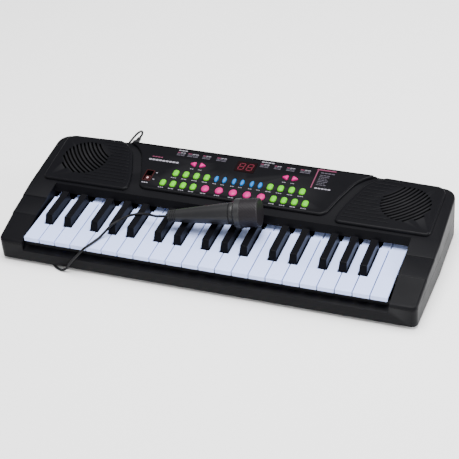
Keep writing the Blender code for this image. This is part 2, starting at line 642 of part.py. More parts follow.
# ---- lower case ----------------------------------------------------------------------------------
def make_lower_case():
    case = add_object("lower_case", raised_outlines(
        "lower_case", [plan_outline(0.0)], FOOT_HEIGHT, SEAM_Z), BLACK_PLASTIC)
    boolean(case, "DIFFERENCE", raised_outlines(
        "inside", [plan_outline(WALL)], FLOOR_TOP, HIGH))
    sink = FLOOR_TOP - WALL / 2
    rib_top = PIVOT_Z - ROD_R - GAP
    strip_z = STRIP_LOW - GAP
    wall_in = WELL_HALF + WALL
    fence_rear = FRONT + RAIL_DEPTH + WALL
    side_front = FRONT + RAIL_DEPTH + WALL / 2
    ribs = [
        ((-wall_in, FRONT + WALL / 2, sink), (wall_in, fence_rear, FENCE_TOP)),
        ((-wall_in, side_front, sink + SHY), (-WELL_HALF, RISER_FOOT_Y, SEAM_Z - SHY)),
        ((WELL_HALF, side_front, sink + SHY), (wall_in, RISER_FOOT_Y, SEAM_Z - SHY)),
    ]
    for number, rib in enumerate(ribs):
        boolean(case, "UNION", boxes(f"well_rib_{number}", [rib]))
    rod_rib = wall_in - WALL / 4
    cross = [
        ((-rod_rib, PIVOT_Y - ROD_RIB_HALF, sink), (rod_rib, PIVOT_Y + ROD_RIB_HALF, rib_top)),
        ((-STRIP_HALF, STRIP_Y - STRIP_RIB_FAR, sink), (STRIP_HALF, STRIP_Y - STRIP_RIB_NEAR, strip_z)),
        ((-STRIP_HALF, STRIP_Y + STRIP_RIB_NEAR, sink), (STRIP_HALF, STRIP_Y + STRIP_RIB_FAR, strip_z)),
        ((BAY_X - BAY_HALF - WALL, BAY_FRONT - WALL, sink),
         (BAY_X + BAY_HALF + WALL, BAY_REAR + WALL, BAY_TOP + WALL)),
    ]
    boolean(case, "UNION", boxes("cross_ribs", cross))
    rail = [(-FAR, RAIL_FRONT_Z), (FRONT, RAIL_FRONT_Z), (FRONT + RAIL_DEPTH, RAIL_FRONT_Z + RAIL_RISE),
            (FRONT + RAIL_DEPTH, HIGH), (-FAR, HIGH)]
    boolean(case, "DIFFERENCE", raised_outlines("rail_top", [rail], -WELL_HALF, WELL_HALF, "X"))
    foot_x = MIDDLE_HALF_WIDTH - FOOT_FROM_SIDE
    feet = [(side * foot_x, y, FOOT_R, 0.0, FOOT_HEIGHT + WALL / 2)
            for side in (-1, 1) for y in (FRONT + FOOT_FROM_FRONT, REAR - FOOT_FROM_REAR)]
    boolean(case, "UNION", cylinders("feet", feet, 16))
    boolean(case, "DIFFERENCE", boxes("battery_bay", [
        ((BAY_X - BAY_HALF, BAY_FRONT, DOOR_CUT_LOW), (BAY_X + BAY_HALF, BAY_REAR, BAY_TOP))]))
    door_half = BAY_HALF + DOOR_LEDGE
    boolean(case, "DIFFERENCE", boxes("door_channel", [
        ((BAY_X - door_half, BAY_FRONT - DOOR_LEDGE, DOOR_CUT_LOW),
         (BAY_X + door_half, FAR, FOOT_HEIGHT + DOOR_THICKNESS + GAP))]))
    return case


def make_battery_door():
    door_half = BAY_HALF + DOOR_LEDGE - GAP
    front = BAY_FRONT - DOOR_LEDGE + GAP
    rear = REAR - REAR_BOW
    middle = Vector((BAY_X, (front + rear) / 2, FOOT_HEIGHT + DOOR_THICKNESS / 2))
    half = Vector((door_half, (rear - front) / 2, DOOR_THICKNESS / 2))
    door = add_object("battery_door", boxes("battery_door", [(-half, half)]), BLACK_PLASTIC)
    door.location = middle
    grips = []
    for row in range(GRIP_COUNT):
        y = half.y - GRIP_FROM_EDGE - row * GRIP_PITCH
        grips.append(((-GRIP_HALF_LENGTH, y, -DOOR_THICKNESS),
                      (GRIP_HALF_LENGTH, y + GRIP_WIDTH, GRIP_DEPTH - half.z)))
    cutter = boolean(door, "DIFFERENCE", boxes("finger_grips", grips))
    cutter.parent = door
    return door


def make_battery_cells():
    """Four cells side by side, their wraps just touching so that they make one pack."""
    reach = CELL_LENGTH / 2
    spacing = 2 * CELL_R * math.cos(math.pi / CELL_SIDES) - CELL_TOUCH
    middle_y = (BAY_FRONT + BAY_REAR) / 2
    pack = None
    for number in range(CELL_COUNT):
        x = BAY_X + (number - (CELL_COUNT - 1) / 2) * spacing
        mesh = cylinders(f"cell_{number}", [(0.0, 0.0, CELL_R, -reach, reach)], CELL_SIDES)
        turn = Matrix.Rotation(math.pi / 2, 4, "X") @ Matrix.Rotation(math.pi / CELL_SIDES, 4, "Z")
        mesh.transform(Matrix.Translation((x, middle_y, CELL_Z)) @ turn)
        if pack is None:
            pack = add_object("battery_cells", mesh, CELL_WRAP)
        else:
            boolean(pack, "UNION", mesh)
    return pack


# ---- keys --------------------------------------------------------------------------------------
def saddle():
    """Underside of a key's tongue, from the rear forwards, with the half round seat on the rod."""
    seat_r = ROD_R + GAP
    line = [(TONGUE_REAR, PIVOT_Z)]
    for step in range(SADDLE_STEPS + 1):
        angle = math.pi * step / SADDLE_STEPS
        line.append((PIVOT_Y + seat_r * math.cos(angle), PIVOT_Z + seat_r * math.sin(angle)))
    return line


def local(points):
    """Side view points measured from the pivot."""
    return [(y - PIVOT_Y, z - PIVOT_Z) for y, z in points]


def make_white_key(number):
    """White key: plate with a front lip, a stem over the contact strip and a tongue on the rod."""
    x = WHITE_X[number]
    half = (KEY_PITCH - KEY_GAP) / 2
    under = KEY_TOP - KEY_PLATE
    stem_front, stem_rear = STRIP_Y - STEM_THICKNESS / 2, STRIP_Y + STEM_THICKNESS / 2
    side_view = [(TONGUE_REAR, TONGUE_TOP), (KEY_REAR, TONGUE_TOP), (KEY_REAR, KEY_TOP),
                 (KEY_FRONT, KEY_TOP), (KEY_FRONT, KEY_TOP - LIP_HEIGHT),
                 (KEY_FRONT + LIP_THICKNESS, KEY_TOP - LIP_HEIGHT), (KEY_FRONT + LIP_THICKNESS, under),
                 (stem_front, under), (stem_front, under - STEM_LENGTH),
                 (stem_rear, under - STEM_LENGTH), (stem_rear, under),
                 (KEY_REAR - HEEL_TOP, under), (KEY_REAR - HEEL_FOOT, PIVOT_Z)]
    profile = local(side_view + saddle()[::-1])
    mesh = raised_outlines("white_key", [profile], -half, half, "X")
    key = add_object(f"white_key_{number + 1:02d}", mesh, WHITE_PLASTIC)
    key.location = (x, PIVOT_Y, PIVOT_Z)
    clear = BLACK_WIDTH / 2 + NOTCH_GAP
    notch_front = KEY_REAR - BLACK_LENGTH - NOTCH_GAP - PIVOT_Y
    notches = []
    for black in BLACK_X:
        if abs(black - x) < half + clear:
            left = max(black - clear - x, -half - KEY_GAP)
            right = min(black + clear - x, half + KEY_GAP)
            notches.append(((left, notch_front, -KEY_TOP), (right, KEY_TOP, KEY_TOP)))
    if notches:
        cutter = boolean(key, "DIFFERENCE", boxes("notches", notches))
        cutter.location = key.location
    return key


def make_black_key(number):
    """Black key: a tall bar with a leaning front, on the same kind of tongue."""
    front = KEY_REAR - BLACK_LENGTH
    low = KEY_TOP - KEY_PLATE - STEM_LENGTH
    side_view = [(TONGUE_REAR, TONGUE_TOP), (KEY_REAR, TONGUE_TOP), (KEY_REAR, BLACK_TOP),
                 (front + BLACK_SLOPE, BLACK_TOP), (front, KEY_TOP), (front, low),
                 (KEY_REAR - HEEL_TOP, low), (KEY_REAR - HEEL_FOOT, PIVOT_Z)]
    profile = local(side_view + saddle()[::-1])
    mesh = raised_outlines("black_key", [profile], -BLACK_WIDTH / 2, BLACK_WIDTH / 2, "X")
    narrow = BLACK_TOP_WIDTH / BLACK_WIDTH
    for vertex in mesh.vertices:
        if vertex.co.z > BLACK_TOP - PIVOT_Z - SHY:
            vertex.co.x *= narrow
    key = add_object(f"black_key_{number + 1:02d}", mesh, GLOSS_BLACK)
    key.location = (BLACK_X[number], PIVOT_Y, PIVOT_Z)
    return key


def make_key_rod():
    reach = WELL_HALF + 2 * WALL
    mesh = cylinders("key_rod", [(0.0, 0.0, ROD_R, -reach, reach)], 12)
    mesh.transform(Matrix.Rotation(math.pi / 2, 4, "Y"))
    rod = add_object("key_rod", mesh, STEEL)
    rod.location = (0.0, PIVOT_Y, PIVOT_Z)
    return rod


def make_contact_strip():
    strip = boxes("contact_strip", [
        ((-STRIP_HALF, -STRIP_HALF_DEPTH, 0.0), (STRIP_HALF, STRIP_HALF_DEPTH, STRIP_HEIGHT))])
    item = add_object("contact_strip", strip, GREY_RUBBER)
    item.location = (0.0, STRIP_Y, STRIP_LOW)
    return item


# ---- pieces behind the panel ------------------------------------------------------------------------
def make_board():
    half_w, half_h = BOARD_SIZE[0] / 2, BOARD_SIZE[1] / 2
    plate = boxes("main_board", [((-half_w, BOARD_UP - half_h, -BOARD_DEPTH - BOARD_THICKNESS),
                                  (half_w, BOARD_UP + half_h, -BOARD_DEPTH))])
    return add_object("main_board", plate, BOARD, PANEL)


def make_display():
    """The digit module on the board and the red lens over it."""
    half_w, half_h = DISPLAY_SIZE[0] / 2, DISPLAY_SIZE[1] / 2
    lens_low = PAD_RISE - LENS_THICKNESS
    module = boxes("display_module", [
        ((-half_w, DISPLAY_UP - half_h, -BOARD_DEPTH + GAP),
         (half_w, DISPLAY_UP + half_h, lens_low - GAP))])
    add_object("display_module", module, GLOSS_BLACK, PANEL)
    lens = boxes("display_lens", [
        ((-half_w, DISPLAY_UP - half_h, lens_low), (half_w, DISPLAY_UP + half_h, PAD_RISE + LENS_PROUD))])
    add_object("display_lens", lens, RED_LENS, PANEL)


def make_switch():
    """Slide switch: a knob in a slot, pushed up the slope to switch on."""
    half_w, half_h = SWITCH_KNOB[0] / 2, SWITCH_KNOB[1] / 2
    start = SWITCH_UP - SWITCH_SLOT[1] / 2 + half_h + SWITCH_CLEARANCE
    knob = boxes("power_switch", [
        ((-half_w, -half_h, -BOARD_DEPTH + GAP), (half_w, half_h, PAD_RISE - SWITCH_CLEARANCE))])
    item = add_object("power_switch", knob, RED_PLASTIC, PANEL)
    item.location = (SWITCH_X, start, 0.0)
    return item


def make_speaker(side, label):
    """Loudspeaker: rim, cone basket and magnet, hung under its grille."""
    magnet = SPEAKER_R * MAGNET_SHARE
    profile = [(0.0, -CONE_EDGE), (SPEAKER_R * DISH_SHARE, -DISH_DROP), (SPEAKER_R, 0.0),
               (SPEAKER_R, -RIM_THICKNESS), (SPEAKER_R * BASKET_SHARE, -CONE_EDGE),
               (magnet, -BASKET_DROP), (magnet, -SPEAKER_DEPTH), (0.0, -SPEAKER_DEPTH)]
    item = turned(f"speaker_{label}", profile, PAPER_CONE, PANEL)
    item.location = (side * SPEAKER_X, SPEAKER_UP, -WALL - GAP)
    return item


# ---- microphone, jack, plug and cord ------------------------------------------------------------------
def make_microphone():
    length = MIC_HANDLE_LENGTH + MIC_HEAD_LENGTH
    head_edge = MIC_HANDLE_LENGTH + MIC_HEAD_CHAMFER
    neck = MIC_HANDLE_LENGTH - GAP
    lift = math.atan((MIC_HEAD_R - MIC_TAIL_R) / (head_edge - MIC_TAIL_CHAMFER))
    tail_z = BLACK_TOP + GAP + MIC_TAIL_R * math.cos(lift) - MIC_TAIL_CHAMFER * math.sin(lift)
    frame = add_empty("microphone_axis", (MIC_TAIL_X, KEY_REAR - MIC_TAIL_BEFORE_RISER, tail_z))
    frame.rotation_euler = (0.0, math.pi / 2 - lift, MIC_TURN)
    handle = [(0.0, neck), (MIC_NECK_R, neck), (MIC_NECK_R, MIC_HANDLE_LENGTH - MIC_NECK_LENGTH),
              (MIC_TAIL_R, MIC_TAIL_CHAMFER), (MIC_TAIL_R - MIC_TAIL_CHAMFER, 0.0), (0.0, 0.0)]
    turned("mic_handle", handle, BLACK_PLASTIC, frame)
    rim = length - MIC_TAIL_CHAMFER
    head = [(0.0, length), (MIC_HEAD_R - MIC_TAIL_CHAMFER, length), (MIC_HEAD_R, rim),
            (MIC_HEAD_R, head_edge), (MIC_HEAD_R - MIC_HEAD_CHAMFER, MIC_HANDLE_LENGTH),
            (0.0, MIC_HANDLE_LENGTH)]
    turned("mic_head", head, GLOSS_BLACK, frame)
    return frame


def rear_wall(x):
    """Depth of the rear wall's outer face at x."""
    half = REAR_HALF_WIDTH / 2
    if abs(x) < half:
        return REAR - REAR_BOW / 4 * abs(x) / half
    return REAR - REAR_BOW / 4 - REAR_BOW * 3 / 4 * (abs(x) - half) / half


def make_jack_and_plug():
    wall_y = rear_wall(JACK_X)
    turn = (-math.pi / 2, 0.0, 0.0)
    depth = PIN_LENGTH + JACK_FLANGE
    bore = PIN_R + BORE_CLEARANCE
    flange_r = JACK_R + JACK_FLANGE
    flange_front = -WALL - JACK_FLANGE_GAP
    base = -depth - JACK_FLANGE
    jack = [(0.0, -depth), (bore, -depth), (bore, 0.0), (JACK_R, 0.0), (JACK_R, flange_front),
            (flange_r, flange_front), (flange_r, base), (0.0, base)]
    item = turned("mic_jack", jack, STEEL)
    item.location = (JACK_X, wall_y, JACK_Z)
    item.rotation_euler = turn
    body_end = GAP + PLUG_LENGTH
    end = body_end + RELIEF_LENGTH
    profile = [(0.0, end), (RELIEF_R, end), (RELIEF_R + RELIEF_FLARE, body_end),
               (PLUG_R - PLUG_CHAMFER, body_end - SHY), (PLUG_R, body_end - PLUG_SHOULDER),
               (PLUG_R, GAP), (PIN_R, GAP), (PIN_R, PIN_TIP - PIN_LENGTH), (0.0, -PIN_LENGTH)]
    plug = turned("mic_plug", profile, BLACK_PLASTIC, steps=16)
    plug.location = (JACK_X, wall_y, JACK_Z)
    plug.rotation_euler = turn
    return wall_y + end


# The cord's route from the plug, round under the case and over the keys to the microphone (mm)
CORD_ROUTE = (
    (-143.0, 113.0, 36.0), (-143.3, 119.0, 36.0), (-145.5, 125.2, 35.4), (-150.5, 130.2, 32.0),
    (-157.0, 133.5, 25.5), (-164.0, 136.0, 17.0), (-170.5, 136.0, 8.5), (-175.3, 130.5, 2.4),
    (-177.5, 120.0, 1.30), (-177.5, 104.0, 1.30), (-173.0, 86.0, 1.30), (-163.0, 64.0, 1.30),
    (-153.5, 40.0, 1.30), (-152.0, 14.0, 1.30), (-159.5, -10.0, 1.30), (-170.0, -32.0, 1.30),
    (-174.0, -54.0, 1.30), (-169.0, -72.0, 1.30), (-160.5, -83.0, 1.30), (-151.5, -88.2, 1.35),
    (-144.5, -88.6, 3.60), (-138.5, -88.2, 12.0), (-131.0, -87.8, 21.0), (-124.8, -87.0, 28.2),
    (-121.0, -84.4, 31.8), (-118.2, -79.6, 32.70), (-115.6, -72.8, 32.60), (-113.0, -66.2, 32.90),
    (-110.2, -61.4, 35.2), (-106.6, -57.2, 38.8), (-102.8, -51.6, 41.70), (-96.8, -40.6, 41.75),
    (-90.8, -33.0, 41.75), (-82.6, -28.4, 41.75), (-73.5, -27.4, 41.80), (-64.5, -29.6, 42.90),
)


def smooth_through(points, spacing):
    """Points about one spacing apart on a Catmull-Rom curve through the given points."""
    ends = [points[0] * 2 - points[1]] + points + [points[-1] * 2 - points[-2]]
    line = []
    for before, start, stop, after in zip(ends, ends[1:], ends[2:], ends[3:]):
        steps = max(1, round((stop - start).length / spacing))
        for step in range(steps):
            t = step / steps
            line.append(0.5 * (2 * start + (stop - before) * t
                               + (2 * before - 5 * start + 4 * stop - after) * t ** 2
                               + (3 * start - before - 3 * stop + after) * t ** 3))
    return line + [points[-1]]


def make_cord(plug_end, mic_frame):
    route = [Vector(point) / 1000 for point in CORD_ROUTE]
    route[0] = Vector((JACK_X, plug_end + GAP, JACK_Z))
    bpy.context.view_layer.update()
    for behind in CORD_LEAD_IN:
        route.append(mic_frame.matrix_world @ Vector((0.0, 0.0, -behind)))
    curve = bpy.data.curves.new("mic_cord", "CURVE")
    curve.dimensions = "3D"
    curve.bevel_depth = CORD_D / 2
    curve.bevel_resolution = 2
    curve.use_fill_caps = True
    line = smooth_through(route, CORD_POINT_SPACING)
    spline = curve.splines.new("POLY")
    spline.points.add(len(line) - 1)
    for point, place in zip(spline.points, line):
        point.co = (*place, 1.0)
    cord = bpy.data.objects.new("mic_cord", curve)
    curve.materials.append(CORD_JACKET)
    PARTS.objects.link(cord)
    return cord


# ---- build ---------------------------------------------------------------------------------------
make_upper_case()
make_lower_case()
make_battery_door()
make_battery_cells()
make_key_rod()
make_contact_strip()
for key_number in range(WHITE_COUNT):
    make_white_key(key_number)
for key_number in range(len(BLACK_X)):
    make_black_key(key_number)
make_board()
make_display()
make_switch()
make_speaker(-1, "left")
make_speaker(1, "right")
for button_name, (button_material, button_caps) in BUTTONS.items():
    make_buttons(button_name, button_material, button_caps)
MIC_FRAME = make_microphone()
PLUG_END = make_jack_and_plug()
make_cord(PLUG_END, MIC_FRAME)
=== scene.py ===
"""Looks of a toy electronic keyboard with a small corded microphone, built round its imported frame."""
import math

import bmesh
import bpy
from mathutils import Matrix, Vector


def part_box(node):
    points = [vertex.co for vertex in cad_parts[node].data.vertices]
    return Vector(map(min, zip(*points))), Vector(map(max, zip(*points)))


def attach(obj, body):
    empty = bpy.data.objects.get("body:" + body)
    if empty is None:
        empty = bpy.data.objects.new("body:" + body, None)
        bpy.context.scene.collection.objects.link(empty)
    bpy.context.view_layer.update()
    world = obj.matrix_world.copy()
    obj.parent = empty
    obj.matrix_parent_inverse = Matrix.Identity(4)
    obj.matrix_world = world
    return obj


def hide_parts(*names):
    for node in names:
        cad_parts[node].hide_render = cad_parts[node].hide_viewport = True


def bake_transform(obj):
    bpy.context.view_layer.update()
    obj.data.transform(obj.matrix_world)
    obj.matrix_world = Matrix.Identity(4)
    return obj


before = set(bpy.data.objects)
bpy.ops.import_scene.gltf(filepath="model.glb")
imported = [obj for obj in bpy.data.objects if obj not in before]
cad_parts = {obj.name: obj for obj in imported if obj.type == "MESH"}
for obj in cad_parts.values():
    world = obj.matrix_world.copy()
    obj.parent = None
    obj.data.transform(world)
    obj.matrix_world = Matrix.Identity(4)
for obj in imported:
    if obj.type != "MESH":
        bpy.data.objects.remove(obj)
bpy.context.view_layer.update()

# ---- driving dimensions, in metres; the rest comes from the frame --------------------------------
GAP = 0.0003
NO_LENGTH = 1e-9
SHARPEST_CORNER = 0.35              # cosine past which a corner of an outline isn't moved further
MERGE_DISTANCE = 1e-6
BISECT_DISTANCE = 1e-7
FLAT_WITHIN = math.radians(1.5)     # faces of the frame's solids this close in slope are one face
WALL = 0.0022
# case
REAR_BOW = 0.0045
FRONT_HALF_WIDTH = 0.2200
MIDDLE_HALF_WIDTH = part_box("upper_case")[1][0]
REAR_HALF_WIDTH = 0.2215
FRONT_CORNER_R = 0.006
REAR_CORNER_R = 0.014
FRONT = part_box("upper_case")[0][1]
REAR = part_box("upper_case")[1][1]
SEAM_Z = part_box("upper_case")[0][2]
EDGE_R = 0.0026                     # rounding along the top of the case
EDGE_STEPS = 5
# keys and the well that they lie in
KEY_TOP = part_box("white_key_01")[1][2]
KEY_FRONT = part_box("white_key_01")[0][1]
BLACK_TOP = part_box("black_key_01")[1][2]
KEY_LENGTH = 0.0737                 # the part of a white key that shows
KEY_REAR = KEY_FRONT + KEY_LENGTH
WELL_SIDE_GAP = 0.00225
WELL_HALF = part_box("white_key_22")[1][0] + WELL_SIDE_GAP
RISER_BEHIND_KEYS = 0.0063
RISER_FOOT_Y = KEY_REAR + RISER_BEHIND_KEYS
RISER_DEPTH = 0.0045
RISER_TOP_Y = RISER_FOOT_Y + RISER_DEPTH
RISER_FOOT_Z = 0.033
RISER_TOP_Z = 0.041
WELL_HEIGHT = 0.03                  # of the cutter for the key well, above the riser's foot
KEY_PASSAGE = 0.004                 # for the rear ends of the keys, behind the riser's inner face
ROOM_RAMP = 0.0052                  # the inside follows the panel from this far behind that face
CASE_SOFTENING = 0.0007
# cheeks beside the keys, tilted panel and pads
CHEEK_FRONT_Z = 0.0257
NOSE_REACH = 0.01                   # the top line starts this far in front of the case and this much lower
NOSE_DROP = 0.002
CHEEK_STEPS = ((0.0365, 0.0330, 0.0012), (0.0635, 0.0369, 0.0012))   # reach from the front, height, rise
STEP_SHAPE = ((-0.0002, 0.0), (0.0003, 0.75), (0.0009, 1.0))         # along the step, share of its rise
PANEL_TILT = math.radians(6.25)
PAD_RISE = 0.003
PAD_EDGE_R = 0.0020
TOP_RING = 1.25                     # the flat ring inside a rounded edge ends at this many radii
# inner edge of a speaker pad from front to rear, as (distance from the middle, distance up the panel)
PAD_EDGE = ((0.1125, 0.0095), (0.1150, 0.0223), (0.1190, 0.0356), (0.1240, 0.0490),
            (0.1295, 0.0623), (0.1385, 0.0727), (0.1480, 0.0785))
# the other corners of a pad and the front corner of the console, as (x, up, radius)
PAD_CORNERS = ((PAD_EDGE[0][0], 0.0035, 0.005), (0.2105, 0.0035, 0.006), (0.2115, 0.0765, 0.010))
CONSOLE_CORNER = (0.1015, 0.0100, 0.010)
VALLEY = 0.010                      # between the pads and the console

# grilles, ribs and cloth
SPEAKER_X = (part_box("speaker_right")[0][0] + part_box("speaker_right")[1][0]) / 2
SPEAKER_UP = 0.0427
GRILLE_R = 0.026
GRILLE_WELL_D = 2 * GRILLE_R + 0.002
CLOTH_D = 2 * GRILLE_R + 0.001
GRILLE_POINTS = 48
SLOT_WIDTH = 0.0021
SLOT_PITCH = 0.0041
SLOT_ANGLE = math.radians(46)       # slots climb outwards by this much in the grille's middle
SLOT_BEND_R = 0.085                 # and curve round a point this far up and inwards
SLOT_MARGIN = 0.001
SHORTEST_SLOT = 0.008
SLOT_STEPS = 14
RIB_PITCH = 0.0050
RIB_WIDTH = 0.0014
RIB_HEIGHT = 0.0005
RIB_CORNER_R = RIB_WIDTH * 0.45
RIB_EDGE_R = RIB_HEIGHT * 0.8
RIB_COUNT = 13
RIB_FIRST_UP = 0.0125
RIB_FROM_EDGE = 0.0045
RIB_STOP = 0.40                     # ribs past the grille end this share of its radius short of its middle
CLOTH_THICKNESS = 0.0006
# buttons; rows are distances up the panel
LOWER_ROW = 0.0215
UPPER_ROW = 0.0385
ARROW_ROW = 0.0560
GREEN_SIZE = (0.0062, 0.0094)
GREEN_CORNER_R = 0.0028
GREEN_LOWER_X = (0.0440, 0.0553, 0.0666, 0.0780)
GREEN_UPPER_X = (0.0350, 0.0465, 0.0583, 0.0697)
PINK_SIZE = (0.0084, 0.0100)
PINK_PITCH = 0.0153
BLUE_SIZE = (0.0042, 0.0092)
BLUE_PITCH = 0.0196
BLUE_SPREAD = 0.0041
BLUE_BOW = 0.12                     # how much more a blue cap bulges outwards, as a share of its width
ARROW_SIZE = (0.0072, 0.0084)
ARROW_CORNER_R = 0.0010
ARROW_X = 0.0512
ARROW_SPREAD = 0.0058
BUTTON_PROUD = 0.0022
BUTTON_SHOULDER = 0.0002            # where a cap starts to round over, above the pad
BUTTON_TRAVEL = 0.001
CAP_STEPS = 7
DOME_FULLNESS = 1.15                # 1 gives a plain rounded top; more makes it slimmer near the top
DOME_TOP_SHARE = 0.6                # of a step left as the small flat on a dome
HOLE_GAP = 0.0004
# display and switch
DISPLAY_SIZE = (0.0210, 0.0160)
DISPLAY_UP = 0.0635
SWITCH_X = -0.0975
SWITCH_UP = 0.0295
SWITCH_SLOT = (0.0075, 0.0150)
RIM_SIZE = (0.0098, 0.0172)
RIM_CORNER_R = 0.0012
RIM_SUNK = 0.0006
RIM_PROUD = 0.0004
KNOB_EDGE = 0.0006
DOT_D = 0.0026
DOT_SUNK = 0.0004                   # the dot's foot, shoulder and top, from the top of the knob
DOT_SHOULDER = 0.0001
DOT_PROUD = 0.0005
# prints and digits
PRINT_THICKNESS = 0.00012
PRINT_GAP = 0.0005                  # between the dashes of a printed line
LABEL_BELOW = 0.0073                # label bars in front of the middle of each button
LABEL_HEIGHT = 0.0009
WIDE_LABEL = 0.0029                 # half widths of the label bars
SLIM_LABEL = 0.0019
DASH_CORNER = 0.3                   # corner radius of a dash, as a share of its height
TEXT_ROWS = ((3, 1.0), (2, 1.0), (4, 0.8))   # dashes in a row of small print, and its share of the width
# printed lines as left, right, distance up the panel, height and number of dashes
WHITE_LINES = (
    (-0.1070, -0.0730, 0.0550, 0.0024, 9), (-0.0800, -0.0700, 0.0752, 0.0015, 3),
    (0.0140, 0.0280, 0.0752, 0.0015, 4), (-0.1010, -0.0940, 0.0180, 0.0014, 3),
    (0.0800, 0.0970, 0.0470, 0.0017, 5), (-0.0910, -0.0890, 0.0350, 0.0012, 1),
    (-0.0910, -0.0890, 0.0245, 0.0012, 1),
)
PINK_LINES = ((-0.1050, -0.0930, 0.0600, 0.0012, 4), (0.0750, 0.0955, 0.0756, 0.0016, 1))
SIDE_HEADING = (0.0800, 0.0950, 0.0712, 0.0013, 4)
PINK_UPRIGHT = (0.0762, 0.0610, 0.0012, 0.0290)          # middle x, middle up, width, height
SIDE_TEXT = (0.0800, 0.0905, 0.0675, 7, 0.0025, 0.0009)  # left, right, top, rows, row pitch, height
# headings along the rear of the console, each part pink and part white, as left and right
HEADINGS = ((-0.0800, -0.0710), (-0.0680, -0.0560), (-0.0510, -0.0420), (-0.0350, -0.0240),
            (0.0140, 0.0235), (0.0295, 0.0370), (0.0430, 0.0520), (0.0580, 0.0690))
HEADING_UP = 0.0717
PINK_SHARE = 0.35
PINK_HEIGHT = 0.0011
WHITE_START = 0.4
WHITE_HEIGHT = 0.0009
HEADING_TEXT = (0.0697, 2, 0.0021, 0.0010)               # top, rows, row pitch, height
DIGIT_SIZE = (0.0056, 0.0096)
DIGIT_STROKE = 0.0011
DIGIT_LEAN = 0.12                   # sideways, for each unit up
DIGIT_GAP = 0.0002
DIGIT_X = 0.0046
# screws and rounded edges
SCREW_R = 0.0031
SCREW_HEIGHT = 0.0011
SCREW_X = (-0.125, 0.0, 0.125)
SCREW_FROM_FRONT = 0.012
SCREW_FROM_REAR = 0.014
SCREW_SEAT = 0.003                  # height of the underside above the foot of the lower case
CROSS_SIZE = (0.0036, 0.0008)
WHITE_KEY_EDGE = 0.0006
BLACK_KEY_EDGE = 0.0007
LOWER_CASE_EDGE = 0.0009
DOOR_EDGE = 0.0003
PLUG_EDGE = 0.0004
# plug, jack and its nut
PIN_LENGTH = 0.013                  # of the microphone plug
JACK_R = 0.0045
JACK_X = -0.143
JACK_Z = 0.036
NUT_CLEAR = 0.0002                  # round the jack
NUT_REACH = 0.0019
NUT_OUTSIDE = 0.001                 # the ridges are on what lies further out than this from its bore
NUT_HEIGHT = 0.0013
NUT_CHAMFER = 0.0003
NUT_FOOT = 0.0001
NUT_RIDGES = 30
NUT_RIDGE_DEPTH = 0.00012
# microphone and cord
MIC_TAIL_R = 0.006
MIC_NECK_R = 0.0115
MIC_HEAD_R = 0.0152
MIC_HANDLE_LENGTH = 0.0705
MIC_HEAD_LENGTH = 0.0262
MIC_TAIL_CHAMFER = 0.0015
MIC_NECK_LENGTH = 0.003
MIC_HEAD_CHAMFER = 0.002
CORD_D = 0.0025
MIC_TURN = math.radians(7.7)
MIC_TAIL_PLACE = (-0.0500, -0.0305)
MIC_ROUND = 0.0004                  # small roundings; the basket lies this far inside the collar
TAIL_GROOVES = (0.0040, 0.0062, 0.0084)
TAIL_GROOVE = (0.0010, 0.0006)      # width and depth
NECK_GROOVE = (0.0012, 0.0007)
NECK_GROOVE_BELOW = 0.0016
HANDLE_RINGS = (0.020, 0.035, 0.050)
COLLAR_BAND = 0.0052
COLLAR_ROUND = 0.0003
COLLAR_LIP = 0.0020
WEAVE_COUNT = 32                    # wires round the basket
WEAVE_DEPTH = 0.00022
BASKET_POINTS = 128
BASKET_RINGS = 22
BASKET_BEND_RINGS = 4
BASKET_FACE_RINGS = 9
BASKET_FACE_STEP = 0.00002          # rise from one ring of the end face to the next
# cutters
FAR = 0.3                           # past the end of the case on any side
CUT_DEPTH = 0.006                   # how far cutters reach above and below the panel
PAD_CUT_DEPTH = 0.002               # and how far those for the pads reach below them

# camera and light
CAMERA_TURN = math.radians(22.99)
CAMERA_RISE = math.radians(36.48)
CAMERA_ROLL = math.radians(-5.14)
CAMERA_AIM = (0.0101, -0.0174, KEY_TOP)
CAMERA_DISTANCE = 1.3996
CAMERA_SENSOR = 36.0                # sensor width and focal length, in millimetres
CAMERA_LENS = 108.5
CAMERA_REACH = 20.0
SKY_STRENGTH = 0.55
FLOOR_SIZE = 8.0
FLOOR_DROP = 0.0002                 # keeps the floor clear of the feet
FLOOR_COLOUR = (0.97, 0.97, 0.97)
# each light as name, place, point aimed at, size and watts
LIGHTS = (
    ("overhead", (0.10, 0.05, 1.7), (0.0, 0.0, 0.0), (1.3, 1.3), 78.0),
    ("front_fill", (0.2, -1.7, 0.9), (0.0, 0.0, 0.0), (1.4, 0.6), 12.0),
    ("side_fill", (1.5, 0.35, 0.45), (0.1, 0.0, 0.0), (0.7, 0.7), 30.0),
)

PANEL = Matrix.Translation((0.0, RISER_TOP_Y, RISER_TOP_Z)) @ Matrix.Rotation(PANEL_TILT, 4, "X")


# ---- camera and stage ----------------------------------------------------------------------------
def place_camera():
    """A long lens from the front right, looking down on the keyboard."""
    flat = math.cos(CAMERA_RISE)
    back = Vector((math.sin(CAMERA_TURN) * flat, -math.cos(CAMERA_TURN) * flat, math.sin(CAMERA_RISE)))
    level = Vector((math.cos(CAMERA_TURN), math.sin(CAMERA_TURN), 0.0))
    up = back.cross(level)
    right = level * math.cos(CAMERA_ROLL) + up * math.sin(CAMERA_ROLL)
    top = up * math.cos(CAMERA_ROLL) - level * math.sin(CAMERA_ROLL)
    lens = bpy.data.cameras.new("camera")
    lens.sensor_width = CAMERA_SENSOR
    lens.lens = CAMERA_LENS
    lens.clip_end = CAMERA_REACH
    camera = bpy.data.objects.new("camera", lens)
    bpy.context.scene.collection.objects.link(camera)
    turned_axes = Matrix((right, top, back)).transposed().to_4x4()
    camera.matrix_world = Matrix.Translation(Vector(CAMERA_AIM) + back * CAMERA_DISTANCE) @ turned_axes
    bpy.context.scene.camera = camera


